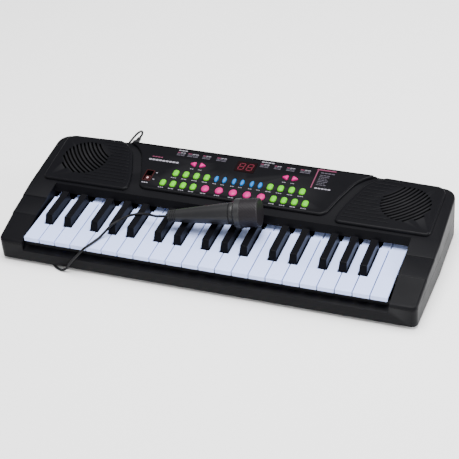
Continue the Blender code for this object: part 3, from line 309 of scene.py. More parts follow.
def place_light(name, place, aim, size, power):
    lamp = bpy.data.lights.new(name, "AREA")
    lamp.shape = "RECTANGLE"
    lamp.size, lamp.size_y = size
    lamp.energy = power
    item = bpy.data.objects.new(name, lamp)
    item.location = place
    item.rotation_euler = (Vector(aim) - Vector(place)).to_track_quat("-Z", "Y").to_euler()
    bpy.context.scene.collection.objects.link(item)


def light_stage():
    """White floor, a broad overhead light, a front fill and a fill from the right."""
    world = bpy.data.worlds.new("studio")
    world.use_nodes = True
    world.node_tree.nodes["Background"].inputs["Color"].default_value = (1.0, 1.0, 1.0, 1.0)
    world.node_tree.nodes["Background"].inputs["Strength"].default_value = SKY_STRENGTH
    bpy.context.scene.world = world
    for light in LIGHTS:
        place_light(*light)
    bpy.ops.mesh.primitive_plane_add(size=FLOOR_SIZE, location=(0.0, 0.0, -FLOOR_DROP))
    floor = bpy.context.object
    floor.name = "floor"
    floor.data.materials.append(plain_material("floor_white", FLOOR_COLOUR, 0.8))


# ---- materials -----------------------------------------------------------------------------------
# paler colour mixed into convex edges: partly rubbed wear, partly a painted highlight along the edges
WORN_AND_HIGHLIGHT_EDGE_COLOUR = (0.35, 0.35, 0.36, 1.0)
GRAIN_HEIGHT = 0.00008
BLOTCH_SCALE = 26.0
BLOTCH_SPREAD = 0.05                # how much rougher or smoother a blotch is


def plain_material(name, colour, roughness):
    material = bpy.data.materials.new(name)
    material.use_nodes = True
    shader = material.node_tree.nodes["Principled BSDF"]
    shader.inputs["Base Color"].default_value = (*colour, 1.0)
    shader.inputs["Roughness"].default_value = roughness
    return material


def socket(tree, name, kind, way="INPUT", value=None):
    made = tree.interface.new_socket(name, in_out=way, socket_type=kind)
    if value is not None:
        made.default_value = value
    return made


def link(tree, start, start_socket, end, end_socket):
    tree.links.new(start.outputs[start_socket], end.inputs[end_socket])


def build_moulded_group():
    """Moulded plastic: fine spark-eroded grain, faint blotches, and convex edges made paler, partly as rubbed
    wear and partly as a painted highlight.
    """
    tree = bpy.data.node_groups.new("moulded_plastic", "ShaderNodeTree")
    socket(tree, "Colour", "NodeSocketColor")
    socket(tree, "Roughness", "NodeSocketFloat", value=0.4)
    socket(tree, "Grain Size", "NodeSocketFloat", value=2600.0)
    socket(tree, "Grain Depth", "NodeSocketFloat", value=0.15)
    socket(tree, "Edge Wear And Highlight", "NodeSocketFloat", value=0.1)
    socket(tree, "Colour", "NodeSocketColor", "OUTPUT")
    socket(tree, "Roughness", "NodeSocketFloat", "OUTPUT")
    socket(tree, "Normal", "NodeSocketVector", "OUTPUT")
    node = tree.nodes.new
    inputs, outputs = node("NodeGroupInput"), node("NodeGroupOutput")
    place = node("ShaderNodeTexCoord")
    grain = node("ShaderNodeTexNoise")
    grain.inputs["Detail"].default_value = 2.0
    link(tree, place, "Object", grain, "Vector")
    link(tree, inputs, "Grain Size", grain, "Scale")
    bump = node("ShaderNodeBump")
    bump.inputs["Distance"].default_value = GRAIN_HEIGHT
    link(tree, grain, "Fac", bump, "Height")
    link(tree, inputs, "Grain Depth", bump, "Strength")
    link(tree, bump, "Normal", outputs, "Normal")
    blotch = node("ShaderNodeTexNoise")
    blotch.inputs["Scale"].default_value = BLOTCH_SCALE
    blotch.inputs["Detail"].default_value = 4.0
    link(tree, place, "Object", blotch, "Vector")
    spread = node("ShaderNodeMapRange")
    spread.inputs["From Min"].default_value = 0.3
    spread.inputs["From Max"].default_value = 0.7
    spread.inputs["To Min"].default_value = -BLOTCH_SPREAD
    spread.inputs["To Max"].default_value = BLOTCH_SPREAD
    link(tree, blotch, "Fac", spread, "Value")
    rough = node("ShaderNodeMath")
    rough.operation = "ADD"
    link(tree, inputs, "Roughness", rough, 0)
    link(tree, spread, "Result", rough, 1)
    link(tree, rough, "Value", outputs, "Roughness")
    # convex edges, picked out by pointiness, are mixed towards the paler colour, as wear and as a painted
    # highlight
    shape = node("ShaderNodeNewGeometry")
    worn_and_lit_edges = node("ShaderNodeMapRange")
    worn_and_lit_edges.inputs["From Min"].default_value = 0.52
    worn_and_lit_edges.inputs["From Max"].default_value = 0.62
    link(tree, shape, "Pointiness", worn_and_lit_edges, "Value")
    wear_and_highlight = node("ShaderNodeMath")
    wear_and_highlight.operation = "MULTIPLY"
    link(tree, worn_and_lit_edges, "Result", wear_and_highlight, 0)
    link(tree, inputs, "Edge Wear And Highlight", wear_and_highlight, 1)
    pale = node("ShaderNodeMix")
    pale.data_type = "RGBA"
    pale.inputs["B"].default_value = WORN_AND_HIGHLIGHT_EDGE_COLOUR
    link(tree, wear_and_highlight, "Value", pale, "Factor")
    tree.links.new(inputs.outputs["Colour"], pale.inputs["A"])
    tree.links.new(pale.outputs["Result"], outputs.inputs["Colour"])
    return tree


MOULDED = build_moulded_group()


def moulded(name, colour, roughness, grain_size=2600.0, grain_depth=0.15, wear_and_highlight=0.1, coat=0.0, specular=0.5,
            metallic=0.0):
    """A moulded plastic, rubber, print or metal finish."""
    material = bpy.data.materials.new(name)
    material.use_nodes = True
    tree = material.node_tree
    shader = tree.nodes["Principled BSDF"]
    group = tree.nodes.new("ShaderNodeGroup")
    group.node_tree = MOULDED
    group.inputs["Colour"].default_value = (*colour, 1.0)
    group.inputs["Roughness"].default_value = roughness
    group.inputs["Grain Size"].default_value = grain_size
    group.inputs["Grain Depth"].default_value = grain_depth
    # how far convex edges are paled: rubbed wear and a painted highlight together
    group.inputs["Edge Wear And Highlight"].default_value = wear_and_highlight
    shader.inputs["Coat Weight"].default_value = coat
    shader.inputs["Specular IOR Level"].default_value = specular
    shader.inputs["Metallic"].default_value = metallic
    link(tree, group, "Colour", shader, "Base Color")
    link(tree, group, "Roughness", shader, "Roughness")
    link(tree, group, "Normal", shader, "Normal")
    return material


# the fifth number of each finish is how far its edges are paled, as wear and as a painted highlight
CASE_BLACK = moulded("case_black", (0.0022, 0.0022, 0.0032), 0.44, 2200.0, 0.22, 0.03, specular=0.07)
PAD_BLACK = moulded("pad_black", (0.0024, 0.0024, 0.0034), 0.40, 2200.0, 0.22, 0.03, specular=0.06)
KEY_WHITE = moulded("key_white", (0.50, 0.60, 0.97), 0.28, 1500.0, 0.04, 0.0, specular=0.35)
KEY_BLACK = moulded("key_black", (0.0016, 0.0016, 0.0026), 0.26, 1800.0, 0.05, 0.02, specular=0.035)
GREEN = moulded("button_green", (0.080, 0.400, 0.004), 0.42, 3000.0, 0.08, 0.0, specular=0.2)
BLUE = moulded("button_blue", (0.005, 0.120, 0.380), 0.42, 3000.0, 0.08, 0.0, specular=0.2)
PINK = moulded("button_pink", (0.420, 0.004, 0.140), 0.42, 3000.0, 0.08, 0.0, specular=0.2)
SWITCH_RED = moulded("switch_red", (0.020, 0.0012, 0.0020), 0.38, 3000.0, 0.06, 0.02, specular=0.12)
SWITCH_DOT = moulded("switch_dot", (0.42, 0.24, 0.26), 0.45, 3000.0, 0.06, 0.0)
CORD_BLACK = moulded("cord_black", (0.0040, 0.0040, 0.0052), 0.42, 1400.0, 0.25, 0.0, specular=0.14)
MIC_BLACK = moulded("mic_black", (0.0095, 0.0095, 0.0105), 0.38, 1800.0, 0.25, 0.03, specular=0.22)
MIC_GRILLE_BLACK = moulded("mic_grille_black", (0.0070, 0.0056, 0.0074), 0.50, 1100.0, 0.4, 0.04,
                           specular=0.18)
PLUG_BLACK = moulded("plug_black", (0.0050, 0.0050, 0.0060), 0.40, 1800.0, 0.2, 0.04, specular=0.15)
PRINT_WHITE = moulded("print_white", (0.20, 0.19, 0.22), 0.6, 900.0, 0.05, 0.0, specular=0.1)
PRINT_PINK = moulded("print_pink", (0.130, 0.030, 0.062), 0.6, 900.0, 0.05, 0.0, specular=0.1)
PRINT_GREY = moulded("print_grey", (0.060, 0.055, 0.070), 0.6, 900.0, 0.05, 0.0, specular=0.1)
CLOTH_BLACK = moulded("speaker_cloth", (0.0012, 0.0012, 0.0014), 0.95, 1200.0, 0.8, 0.0, specular=0.05)
LENS_RED = moulded("display_red", (0.0045, 0.0004, 0.0008), 0.14, 300.0, 0.02, 0.0, coat=0.05, specular=0.12)
DIGIT_RED = moulded("digit_red", (0.085, 0.008, 0.018), 0.5, 900.0, 0.05, 0.0, specular=0.1)
MODULE_BLACK = moulded("display_black", (0.010, 0.010, 0.012), 0.5, 1500.0, 0.2, 0.05)
BOARD_GREEN = moulded("circuit_board", (0.020, 0.120, 0.045), 0.35, 700.0, 0.15, 0.1, coat=0.2)
CONE_BLACK = moulded("speaker_cone", (0.020, 0.019, 0.018), 0.85, 900.0, 0.7, 0.1)
STRIP_GREY = moulded("contact_rubber", (0.16, 0.16, 0.17), 0.75, 1600.0, 0.3, 0.05)
ROD_STEEL = moulded("steel_rod", (0.56, 0.56, 0.57), 0.28, 1900.0, 0.1, 0.0, metallic=1.0)
JACK_METAL = moulded("jack_metal", (0.60, 0.59, 0.57), 0.30, 1500.0, 0.1, 0.0, metallic=1.0)
SCREW_STEEL = moulded("screw_steel", (0.30, 0.30, 0.31), 0.35, 1500.0, 0.15, 0.2, metallic=1.0)
CELL_WRAP = moulded("cell_wrap", (0.04, 0.06, 0.22), 0.35, 800.0, 0.05, 0.05, coat=0.2)


# ---- outlines ------------------------------------------------------------------------------------
def rounded(corners, segments=4):
    """Outline through (x, y, radius) corners, anticlockwise, with each corner as an arc."""
    outline = []
    count = len(corners)
    for index, (x, y, radius) in enumerate(corners):
        here = Vector((x, y))
        if radius <= 0.0:
            outline.append((x, y))
            continue
        into = (here - Vector(corners[index - 1][:2])).normalized()
        away = (Vector(corners[(index + 1) % count][:2]) - here).normalized()
        turn = into.angle_signed(away)
        start = here - into * radius * abs(math.tan(turn / 2))
        side = Vector((-into.y, into.x)) * (-1 if turn > 0 else 1)
        centre = start + side * radius
        for step in range(segments + 1):
            spin = Matrix.Rotation(-turn * step / segments, 2)
            outline.append(tuple(centre + spin @ (start - centre)))
    return outline


def oval(x, y, width, height, points=28):
    return [(x + width / 2 * math.cos(2 * math.pi * step / points),
             y + height / 2 * math.sin(2 * math.pi * step / points)) for step in range(points)]


def rectangle(x, y, width, height):
    half_w, half_h = width / 2, height / 2
    return [(x - half_w, y - half_h), (x + half_w, y - half_h),
            (x + half_w, y + half_h), (x - half_w, y + half_h)]


def inset(outline, distance):
    """The outline moved inwards by distance, point by point; very sharp corners move less."""
    moved = []
    count = len(outline)
    for index in range(count):
        before, here, after = (Vector(outline[(index + step) % count]) for step in (-1, 0, 1))
        into, away = (here - before).normalized(), (after - here).normalized()
        normal = Vector((-into.y - away.y, into.x + away.x))
        if normal.length < NO_LENGTH:
            moved.append(tuple(here))
            continue
        normal.normalize()
        reach = distance / max(normal.dot(Vector((-into.y, into.x))), SHARPEST_CORNER)
        moved.append(tuple(here + normal * reach))
    return moved


def middle_of(outline):
    return sum((Vector(point) for point in outline), Vector((0.0, 0.0))) / len(outline)


def plan_outline(shift):
    """Outline of the case seen from above, moved inwards by shift."""
    half = [
        (FRONT_HALF_WIDTH - shift, FRONT + shift, FRONT_CORNER_R - shift),
        (MIDDLE_HALF_WIDTH - shift, 0.0, 0.0),
        (REAR_HALF_WIDTH - shift, REAR - REAR_BOW - shift, REAR_CORNER_R - shift),
        ((REAR_HALF_WIDTH - shift) / 2, REAR - REAR_BOW / 4 - shift, 0.0),
    ]
    mirrored = [(-x, y, radius) for x, y, radius in reversed(half)]
    return rounded(half + [(0.0, REAR - shift, 0.0)] + mirrored, 8)


def top_line():
    """Side view of the case top from front to rear as (y, z), with softened steps."""
    line = [(FRONT - NOSE_REACH, CHEEK_FRONT_Z - NOSE_DROP), (FRONT, CHEEK_FRONT_Z)]
    for reach, height, rise in CHEEK_STEPS:
        line += [(FRONT + reach + along, height + rise * share) for along, share in STEP_SHAPE]
    line.append((RISER_TOP_Y, RISER_TOP_Z))
    line.append((FAR, RISER_TOP_Z + (FAR - RISER_TOP_Y) * math.tan(PANEL_TILT)))
    return line


def top_height(y):
    """Height of the case top this far back."""
    line = top_line()
    for (y0, z0), (y1, z1) in zip(line, line[1:]):
        if y <= y1:
            return z0 + (z1 - z0) * (y - y0) / (y1 - y0)
    return line[-1][1]


def eased(points, steps=3):
    """Points on a smooth curve through the given ones."""
    knots = [Vector(point) for point in points]
    knots = [knots[0] * 2 - knots[1]] + knots + [knots[-1] * 2 - knots[-2]]
    line = []
    for before, start, stop, after in zip(knots, knots[1:], knots[2:], knots[3:]):
        for step in range(steps):
            t = step / steps
            line.append(0.5 * (2 * start + (stop - before) * t
                               + (2 * before - 5 * start + 4 * stop - after) * t ** 2
                               + (3 * start - before - 3 * stop + after) * t ** 3))
    return line + [knots[-2]]


def speaker_pad_outline(side):
    """Outline of a speaker pad; side is -1 on the left and 1 on the right."""
    inner = [(x, up, 0.0) for x, up in reversed(eased(PAD_EDGE))][:-1]
    corners = list(PAD_CORNERS) + inner
    return rounded([(side * x, up, radius) for x, up, radius in corners[::side]], 6)


def console_outline():
    """Outline of the raised console between the two speaker pads."""
    side = eased([(x - VALLEY, up) for x, up in PAD_EDGE[1:]])
    right = [CONSOLE_CORNER] + [(x, up, 0.0) for x, up in side]
    left = [(-x, up, radius) for x, up, radius in reversed(right)]
    return rounded(right + left, 6)


def arrow(x, direction):
    """A three-cornered cap; direction is -1 where it points left and 1 where it points right."""
    width, height = ARROW_SIZE
    corners = [(-width / 2, 0.0), (width / 2, -height / 2), (width / 2, height / 2)]
    if direction > 0:
        corners = [(-cx, cy) for cx, cy in reversed(corners)]
    return rounded([(x + cx, ARROW_ROW + cy, ARROW_CORNER_R) for cx, cy in corners], 5)


def leaf(x, y, width, height, bow, points=14):
    """A slim cap that bulges more on one side: the right where bow is positive."""
    right = [(x + width * (0.5 + bow) * math.sin(math.pi * step / points),
              y - height / 2 * math.cos(math.pi * step / points)) for step in range(points)]
    left = [(x - width * (0.5 - bow) * math.sin(math.pi * step / points),
             y + height / 2 * math.cos(math.pi * step / points)) for step in range(points)]
    return right + left


def green_cap(x, up):
    """An upright cap with nearly round ends."""
    return rounded([(cx, cy, GREEN_CORNER_R) for cx, cy in rectangle(x, up, *GREEN_SIZE)], 6)


def green_places(side):
    return [(side * x, LOWER_ROW) for x in GREEN_LOWER_X] + [(side * x, UPPER_ROW) for x in GREEN_UPPER_X]


def green_caps(side):
    return [green_cap(x, up) for x, up in green_places(side)]


# each colour group as its material, slot, caps and half the width of the printed line below a cap
BUTTONS = {
    "green_buttons_left": (GREEN, "button_green", green_caps(-1), WIDE_LABEL),
    "green_buttons_right": (GREEN, "button_green", green_caps(1), WIDE_LABEL),
    "blue_buttons": (BLUE, "button_blue", [
        leaf(pair * BLUE_PITCH + side * BLUE_SPREAD, UPPER_ROW, *BLUE_SIZE, side * BLUE_BOW)
        for pair in (-1, 0, 1) for side in (-1, 1)], SLIM_LABEL),
    "pink_buttons": (PINK, "button_pink", [
        oval(place * PINK_PITCH, LOWER_ROW, *PINK_SIZE) for place in (-2, -1, 0, 1, 2)], WIDE_LABEL),
    "arrow_buttons_left": (PINK, "button_pink", [
        arrow(-ARROW_X - ARROW_SPREAD, -1), arrow(-ARROW_X + ARROW_SPREAD, 1)], SLIM_LABEL),
    "arrow_buttons_right": (PINK, "button_pink", [
        arrow(ARROW_X - ARROW_SPREAD, -1), arrow(ARROW_X + ARROW_SPREAD, 1)], SLIM_LABEL),
}


# ---- mesh making ---------------------------------------------------------------------------------
def add_piece(name, mesh, material, body="root", smooth=30.0):
    """A shown piece that rides on a body."""
    item = bpy.data.objects.new(name, mesh)
    bpy.context.scene.collection.objects.link(item)
    mesh.materials.clear()
    mesh.materials.append(material)
    mesh.shade_smooth()
    mesh.set_sharp_from_angle(angle=math.radians(smooth))
    if body:
        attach(item, body)
    return item


def mesh_from(build, name):
    mesh = bpy.data.meshes.new(name)
    bmesh.ops.recalc_face_normals(build, faces=build.faces)
    build.to_mesh(mesh)
    build.free()
    return mesh


def stack(build, rings, hoop=False):
    """Closed skin through rings of points with equal counts, capped at both ends or bent into a hoop."""
    layers = [[build.verts.new(point) for point in ring] for ring in rings]
    for low, high in zip(layers, layers[1:] + (layers[:1] if hoop else [])):
        for index in range(len(low)):
            nearby = (index + 1) % len(low)
            build.faces.new((low[index], low[nearby], high[nearby], high[index]))
    if not hoop:
        build.faces.new(layers[0][::-1])
        build.faces.new(layers[-1])


def turned(profile, turns=64, hoop=False, texture=None):
    """A (radius, height) profile turned round Z; texture(angle, radius, height) adds to the radius."""
    build = bmesh.new()
    rings = []
    for radius, height in profile:
        ring = []
        for step in range(turns):
            angle = 2 * math.pi * step / turns
            reach = radius + (texture(angle, radius, height) if texture else 0.0)
            ring.append((reach * math.cos(angle), reach * math.sin(angle), height))
        rings.append(ring)
    stack(build, rings, hoop)
    return mesh_from(build, "turned")


def soft_slab(build, outline, low, high, radius, steps=4):
    """A flat slab whose top edge is rounded, with a narrow flat ring inside it for clean shading."""
    rings = [[(x, y, low) for x, y in outline]]
    for step in range(steps + 1):
        angle = math.pi / 2 * step / steps
        ring = inset(outline, radius * (1 - math.cos(angle)))
        rings.append([(x, y, high - radius + radius * math.sin(angle)) for x, y in ring])
    rings.append([(x, y, high) for x, y in inset(outline, radius * TOP_RING)])
    stack(build, rings)


def dome(build, outline, low, shoulder, high, steps=5):
    """A cap with straight sides up to the shoulder and a domed top."""
    centre = middle_of(outline)
    rings = [[(x, y, low) for x, y in outline], [(x, y, shoulder) for x, y in outline]]
    full = steps + DOME_TOP_SHARE
    top = math.sin(math.pi / 2 * steps / full)
    for step in range(1, steps + 1):
        angle = math.pi / 2 * step / full
        share = math.cos(angle) ** DOME_FULLNESS
        height = shoulder + (high - shoulder) * math.sin(angle) / top
        rings.append([(*(centre + (Vector(point) - centre) * share), height) for point in outline])
    stack(build, rings)


def panel_piece(name, build, material, body="root"):
    """A piece drawn flat and laid on the tilted panel."""
    piece = add_piece(name, mesh_from(build, name), material, body)
    piece.data.transform(PANEL)
    return piece


def prisms(name, outlines, low, high, along="Z"):
    """Mesh of straight prisms; along X the outlines are drawn in Y and Z."""
    build = bmesh.new()
    for outline in outlines:
        stack(build, [[(x, y, low) for x, y in outline], [(x, y, high) for x, y in outline]])
    mesh = mesh_from(build, name)
    if along == "X":
        mesh.transform(Matrix(((0, 0, 1, 0), (1, 0, 0, 0), (0, 1, 0, 0), (0, 0, 0, 1))))
    return mesh


def cut(item, tool_mesh, place=None):
    """Cuts a tool mesh out of an object; the tool is removed again."""
    tool = bpy.data.objects.new("tool", tool_mesh)
    bpy.context.scene.collection.objects.link(tool)
    if place is not None:
        tool_mesh.transform(place)
    modifier = item.modifiers.new("cut", "BOOLEAN")
    modifier.operation = "DIFFERENCE"
    modifier.solver = "EXACT"
    modifier.object = tool
    apply_modifiers(item)
    bpy.data.objects.remove(tool, do_unlink=True)


def apply_modifiers(item):
    """Bakes an object's modifiers into its mesh."""
    bpy.context.view_layer.update()
    depsgraph = bpy.context.evaluated_depsgraph_get()
    mesh = bpy.data.meshes.new_from_object(item.evaluated_get(depsgraph))
    item.modifiers.clear()
    old = item.data
    item.data = mesh
    bpy.data.meshes.remove(old)


def soften(item, width, segments=2, angle=40.0):
    """Rounds the sharp edges that are left and flattens the shading of broad faces."""
    bevel = item.modifiers.new("soften", "BEVEL")
    bevel.width = width
    bevel.segments = segments
    bevel.limit_method = "ANGLE"
    bevel.angle_limit = math.radians(angle)
    bevel.use_clamp_overlap = True
    bevel.harden_normals = True
    apply_modifiers(item)


def even_shading(item):
    """Lets broad flat faces set the shading where they meet narrow rounded ones."""
    modifier = item.modifiers.new("even_shading", "WEIGHTED_NORMAL")
    modifier.mode = "FACE_AREA"
    modifier.weight = 100
    modifier.keep_sharp = True
    apply_modifiers(item)


def finish_mesh(item, material, smooth=35.0):
    """One material, smooth shading up to an angle, and flat faces that look flat."""
    item.data.materials.clear()
    item.data.materials.append(material)
    item.data.shade_smooth()
    item.data.set_sharp_from_angle(angle=math.radians(smooth))
    even_shading(item)


def finish_node(node, material):
    """Gives a kept CAD node its material."""
    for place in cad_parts[node].material_slots:
        place.material = material


def flattened_copy(node):
    """Copy of a CAD node's mesh with the triangles of flat faces merged."""
    build = bmesh.new()
    build.from_mesh(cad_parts[node].data)
    bmesh.ops.remove_doubles(build, verts=build.verts, dist=MERGE_DISTANCE)
    bmesh.ops.dissolve_limit(build, angle_limit=FLAT_WITHIN, verts=build.verts, edges=build.edges)
    mesh = bpy.data.meshes.new(node + "_shape")
    build.to_mesh(mesh)
    build.free()
    return mesh


def refined(node, body, material, width, segments=2):
    """A CAD node with its edges rounded."""
    piece = add_piece(node + "_body", flattened_copy(node), material, body)
    soften(piece, width, segments)
    finish_mesh(piece, material)
    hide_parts(node)
    return piece


# ---- cord ----------------------------------------------------------------------------------------
# Route from the plug, round under the case and over the keys to the microphone, in millimetres
CORD_ROUTE = (
    (-143.0, 113.0, 36.0), (-143.3, 119.0, 36.0), (-145.5, 125.2, 35.4), (-150.5, 130.2, 32.0),
    (-157.0, 133.5, 25.5), (-164.0, 136.0, 17.0), (-170.5, 136.0, 8.5), (-175.3, 130.5, 2.4),
    (-177.5, 120.0, 1.30), (-177.5, 104.0, 1.30), (-173.0, 86.0, 1.30), (-163.0, 64.0, 1.30),
    (-153.5, 40.0, 1.30), (-152.0, 14.0, 1.30), (-159.5, -10.0, 1.30), (-170.0, -32.0, 1.30),
    (-174.0, -54.0, 1.30), (-169.0, -72.0, 1.30), (-160.5, -83.0, 1.30), (-151.5, -88.2, 1.35),
    (-144.5, -88.6, 3.60), (-138.5, -88.2, 12.0), (-131.0, -87.8, 21.0), (-124.8, -87.0, 28.2),
    (-121.0, -84.4, 31.8), (-118.2, -79.6, 32.70), (-115.6, -72.8, 32.60), (-113.0, -66.2, 32.90),
    (-110.2, -61.4, 35.2), (-106.6, -57.2, 38.8), (-102.8, -51.6, 41.70), (-96.8, -40.6, 41.75),
    (-90.8, -33.0, 41.75), (-82.6, -28.4, 41.75), (-73.5, -27.4, 41.80), (-64.5, -29.6, 42.90),
)


def microphone_axis():
    """Frame whose Z runs along the microphone from the middle of its tail."""
    head_edge = MIC_HANDLE_LENGTH + MIC_HEAD_CHAMFER
    lift = math.atan((MIC_HEAD_R - MIC_TAIL_R) / (head_edge - MIC_TAIL_CHAMFER))
    tail_z = BLACK_TOP + GAP + MIC_TAIL_R * math.cos(lift) - MIC_TAIL_CHAMFER * math.sin(lift)
    place = Matrix.Translation((*MIC_TAIL_PLACE, tail_z))
    return place @ Matrix.Rotation(MIC_TURN, 4, "Z") @ Matrix.Rotation(math.pi / 2 - lift, 4, "Y")


MIC = microphone_axis()


def make_cord():
    """The cord from the plug to the microphone, with its centreline and its length."""
    route = [Vector(point) / 1000 for point in CORD_ROUTE]
    plug_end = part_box("mic_plug")[1][1]
    route[0] = Vector((JACK_X, plug_end + GAP, JACK_Z))
    for behind in (2.5 * CORD_D, 1.5 * GAP):    # straight into the tail, ending just short of it
        route.append(MIC @ Vector((0.0, 0.0, -behind)))
    line = eased(route, 6)
    curve = bpy.data.curves.new("mic_cord_line", "CURVE")
    curve.dimensions = "3D"
    curve.bevel_depth = CORD_D / 2
    curve.bevel_resolution = 4
    curve.use_fill_caps = True
    spline = curve.splines.new("POLY")
    spline.points.add(len(line) - 1)
    for point, place in zip(spline.points, line):
        point.co = (*place, 1.0)
    holder = bpy.data.objects.new("mic_cord_line", curve)
    bpy.context.scene.collection.objects.link(holder)
    bpy.context.view_layer.update()
    mesh = bpy.data.meshes.new_from_object(holder.evaluated_get(bpy.context.evaluated_depsgraph_get()))
    bpy.data.objects.remove(holder, do_unlink=True)
    cord = add_piece("mic_cord_jacket", mesh, CORD_BLACK, body=None)
    length = sum((b - a).length for a, b in zip(line, line[1:]))
    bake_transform(cord)
    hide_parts("mic_cord")
    return cord, line, length


place_camera()
light_stage()
CORD, CORD_LINE, CORD_LENGTH = make_cord()


# ---- upper case ----------------------------------------------------------------------------------
def case_block():
    """The upper case as a block whose top follows the side view and whose rim is rounded."""
    build = bmesh.new()
    deep = -1.0                     # marks the lower ring until it is set at the seam
    rings = [[(x, y, deep) for x, y in plan_outline(0.0)]]
    for step in range(EDGE_STEPS + 1):
        angle = math.pi / 2 * step / EDGE_STEPS
        ring = plan_outline(EDGE_R * (1 - math.cos(angle)))
        rings.append([(x, y, -EDGE_R * (1 - math.sin(angle))) for x, y in ring])
    stack(build, rings)
    for y, _ in top_line()[1:-1]:
        geometry = build.verts[:] + build.edges[:] + build.faces[:]
        bmesh.ops.bisect_plane(build, geom=geometry, dist=BISECT_DISTANCE, plane_co=(0, y, 0),
                               plane_no=(0, 1, 0))
    for vertex in build.verts:
        if vertex.co.z < deep / 2:
            vertex.co.z = SEAM_Z
        else:
            vertex.co.z += top_height(vertex.co.y)
    return mesh_from(build, "case_top")


def panel_holes():
    """Outlines of the openings for the caps, the display and the switch."""
    holes = [inset(cap, -HOLE_GAP) for _, _, caps, _ in BUTTONS.values() for cap in caps]
    holes.append(rectangle(0.0, DISPLAY_UP, DISPLAY_SIZE[0] + 2 * GAP, DISPLAY_SIZE[1] + 2 * GAP))
    holes.append(rectangle(SWITCH_X, SWITCH_UP, *SWITCH_SLOT))
    return holes


def grille_slots(side):
    """Curved slots with round ends that fill a round grille, all struck from one far point."""
    middle = Vector((side * SPEAKER_X, SPEAKER_UP))
    outwards = Vector((side * math.sin(SLOT_ANGLE), -math.cos(SLOT_ANGLE)))
    hub = middle - outwards * SLOT_BEND_R
    start = math.atan2(outwards.y, outwards.x)
    reach = GRILLE_R - SLOT_MARGIN
    slots = []
    count = int(GRILLE_R / SLOT_PITCH)
    for row in range(-count, count + 1):
        ring = SLOT_BEND_R + row * SLOT_PITCH
        opening = (ring ** 2 + SLOT_BEND_R ** 2 - reach ** 2) / (2 * ring * SLOT_BEND_R)
        half_turn = math.acos(min(opening, 1.0))
        if 2 * half_turn * ring < SHORTEST_SLOT:
            continue
        turns = [start + half_turn * (2 * step / SLOT_STEPS - 1) for step in range(SLOT_STEPS + 1)]
        outline = [hub + (ring + SLOT_WIDTH / 2) * Vector((math.cos(turn), math.sin(turn))) for turn in turns]
        outline += round_end(hub, ring, turns[-1], 1)
        outline += [hub + (ring - SLOT_WIDTH / 2) * Vector((math.cos(turn), math.sin(turn)))
                    for turn in reversed(turns)]
        outline += round_end(hub, ring, turns[0], -1)
        slots.append([tuple(point) for point in outline])
    return slots


def round_end(hub, ring, turn, way):
    """Points round the end of a slot, between its two long edges."""
    out = Vector((math.cos(turn), math.sin(turn)))
    along = Vector((-out.y, out.x)) * way
    end = hub + ring * out
    return [end + SLOT_WIDTH / 2 * (out * way * math.cos(angle) + along * math.sin(angle))
            for angle in (math.radians(45), math.radians(90), math.radians(135))]


def make_upper_case():
    """The upper half of the case, opened for the keys, the inside, the panel's parts and the grilles."""
    case = add_piece("case_top", case_block(), CASE_BLACK, "root")
    lean = RISER_DEPTH / (RISER_TOP_Z - RISER_FOOT_Z)
    well = [(-FAR, 0.0), (RISER_FOOT_Y, 0.0), (RISER_FOOT_Y, RISER_FOOT_Z),
            (RISER_FOOT_Y + WELL_HEIGHT * lean, RISER_FOOT_Z + WELL_HEIGHT),
            (-FAR, RISER_FOOT_Z + WELL_HEIGHT)]
    cut(case, prisms("well", [well], -WELL_HALF, WELL_HALF, "X"))
    inner_foot = RISER_FOOT_Y + WALL
    passage_end = inner_foot + KEY_PASSAGE
    passage = [(-FAR, 0.0), (passage_end, 0.0), (passage_end, RISER_FOOT_Z), (-FAR, RISER_FOOT_Z)]
    cut(case, prisms("passage", [passage], -WELL_HALF, WELL_HALF, "X"))
    inner_rear = REAR - REAR_BOW - WALL
    ramp_end = inner_foot + ROOM_RAMP
    room = [(inner_foot, 0.0), (inner_rear, 0.0), (inner_rear, top_height(inner_rear) - WALL),
            (ramp_end, top_height(ramp_end) - WALL), (inner_foot, RISER_FOOT_Z)]
    cut(case, prisms("room", [room], -WELL_HALF, WELL_HALF, "X"))
    cut(case, prisms("holes", panel_holes(), -CUT_DEPTH, CUT_DEPTH), PANEL)
    grilles = [oval(side * SPEAKER_X, SPEAKER_UP, GRILLE_WELL_D, GRILLE_WELL_D, GRILLE_POINTS)
               for side in (-1, 1)]
    cut(case, prisms("grille_wells", grilles, -CUT_DEPTH, CUT_DEPTH), PANEL)
    soften(case, CASE_SOFTENING, 2, 50.0)
    finish_mesh(case, CASE_BLACK)
    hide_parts("upper_case")


def make_pads():
    """Raised speaker pads with their slotted grilles, and the console with its button holes."""
    for side, label in ((-1, "left"), (1, "right")):
        build = bmesh.new()
        soft_slab(build, speaker_pad_outline(side), 0.0, PAD_RISE, PAD_EDGE_R)
        pad = panel_piece(f"speaker_pad_{label}", build, PAD_BLACK)
        cut(pad, prisms("slots", grille_slots(side), -PAD_CUT_DEPTH, CUT_DEPTH), PANEL)
        finish_mesh(pad, PAD_BLACK)
    build = bmesh.new()
    soft_slab(build, console_outline(), 0.0, PAD_RISE, PAD_EDGE_R)
    console = panel_piece("console", build, PAD_BLACK)
    cut(console, prisms("holes", panel_holes(), -PAD_CUT_DEPTH, CUT_DEPTH), PANEL)
    finish_mesh(console, PAD_BLACK)


def pad_inner_edge(up):
    """How far from the middle a speaker pad starts, this far up the panel."""
    for (x0, up0), (x1, up1) in zip(PAD_EDGE, PAD_EDGE[1:]):
        if up <= up1:
            return x0 + (x1 - x0) * (up - up0) / (up1 - up0)
    return PAD_EDGE[-1][0]


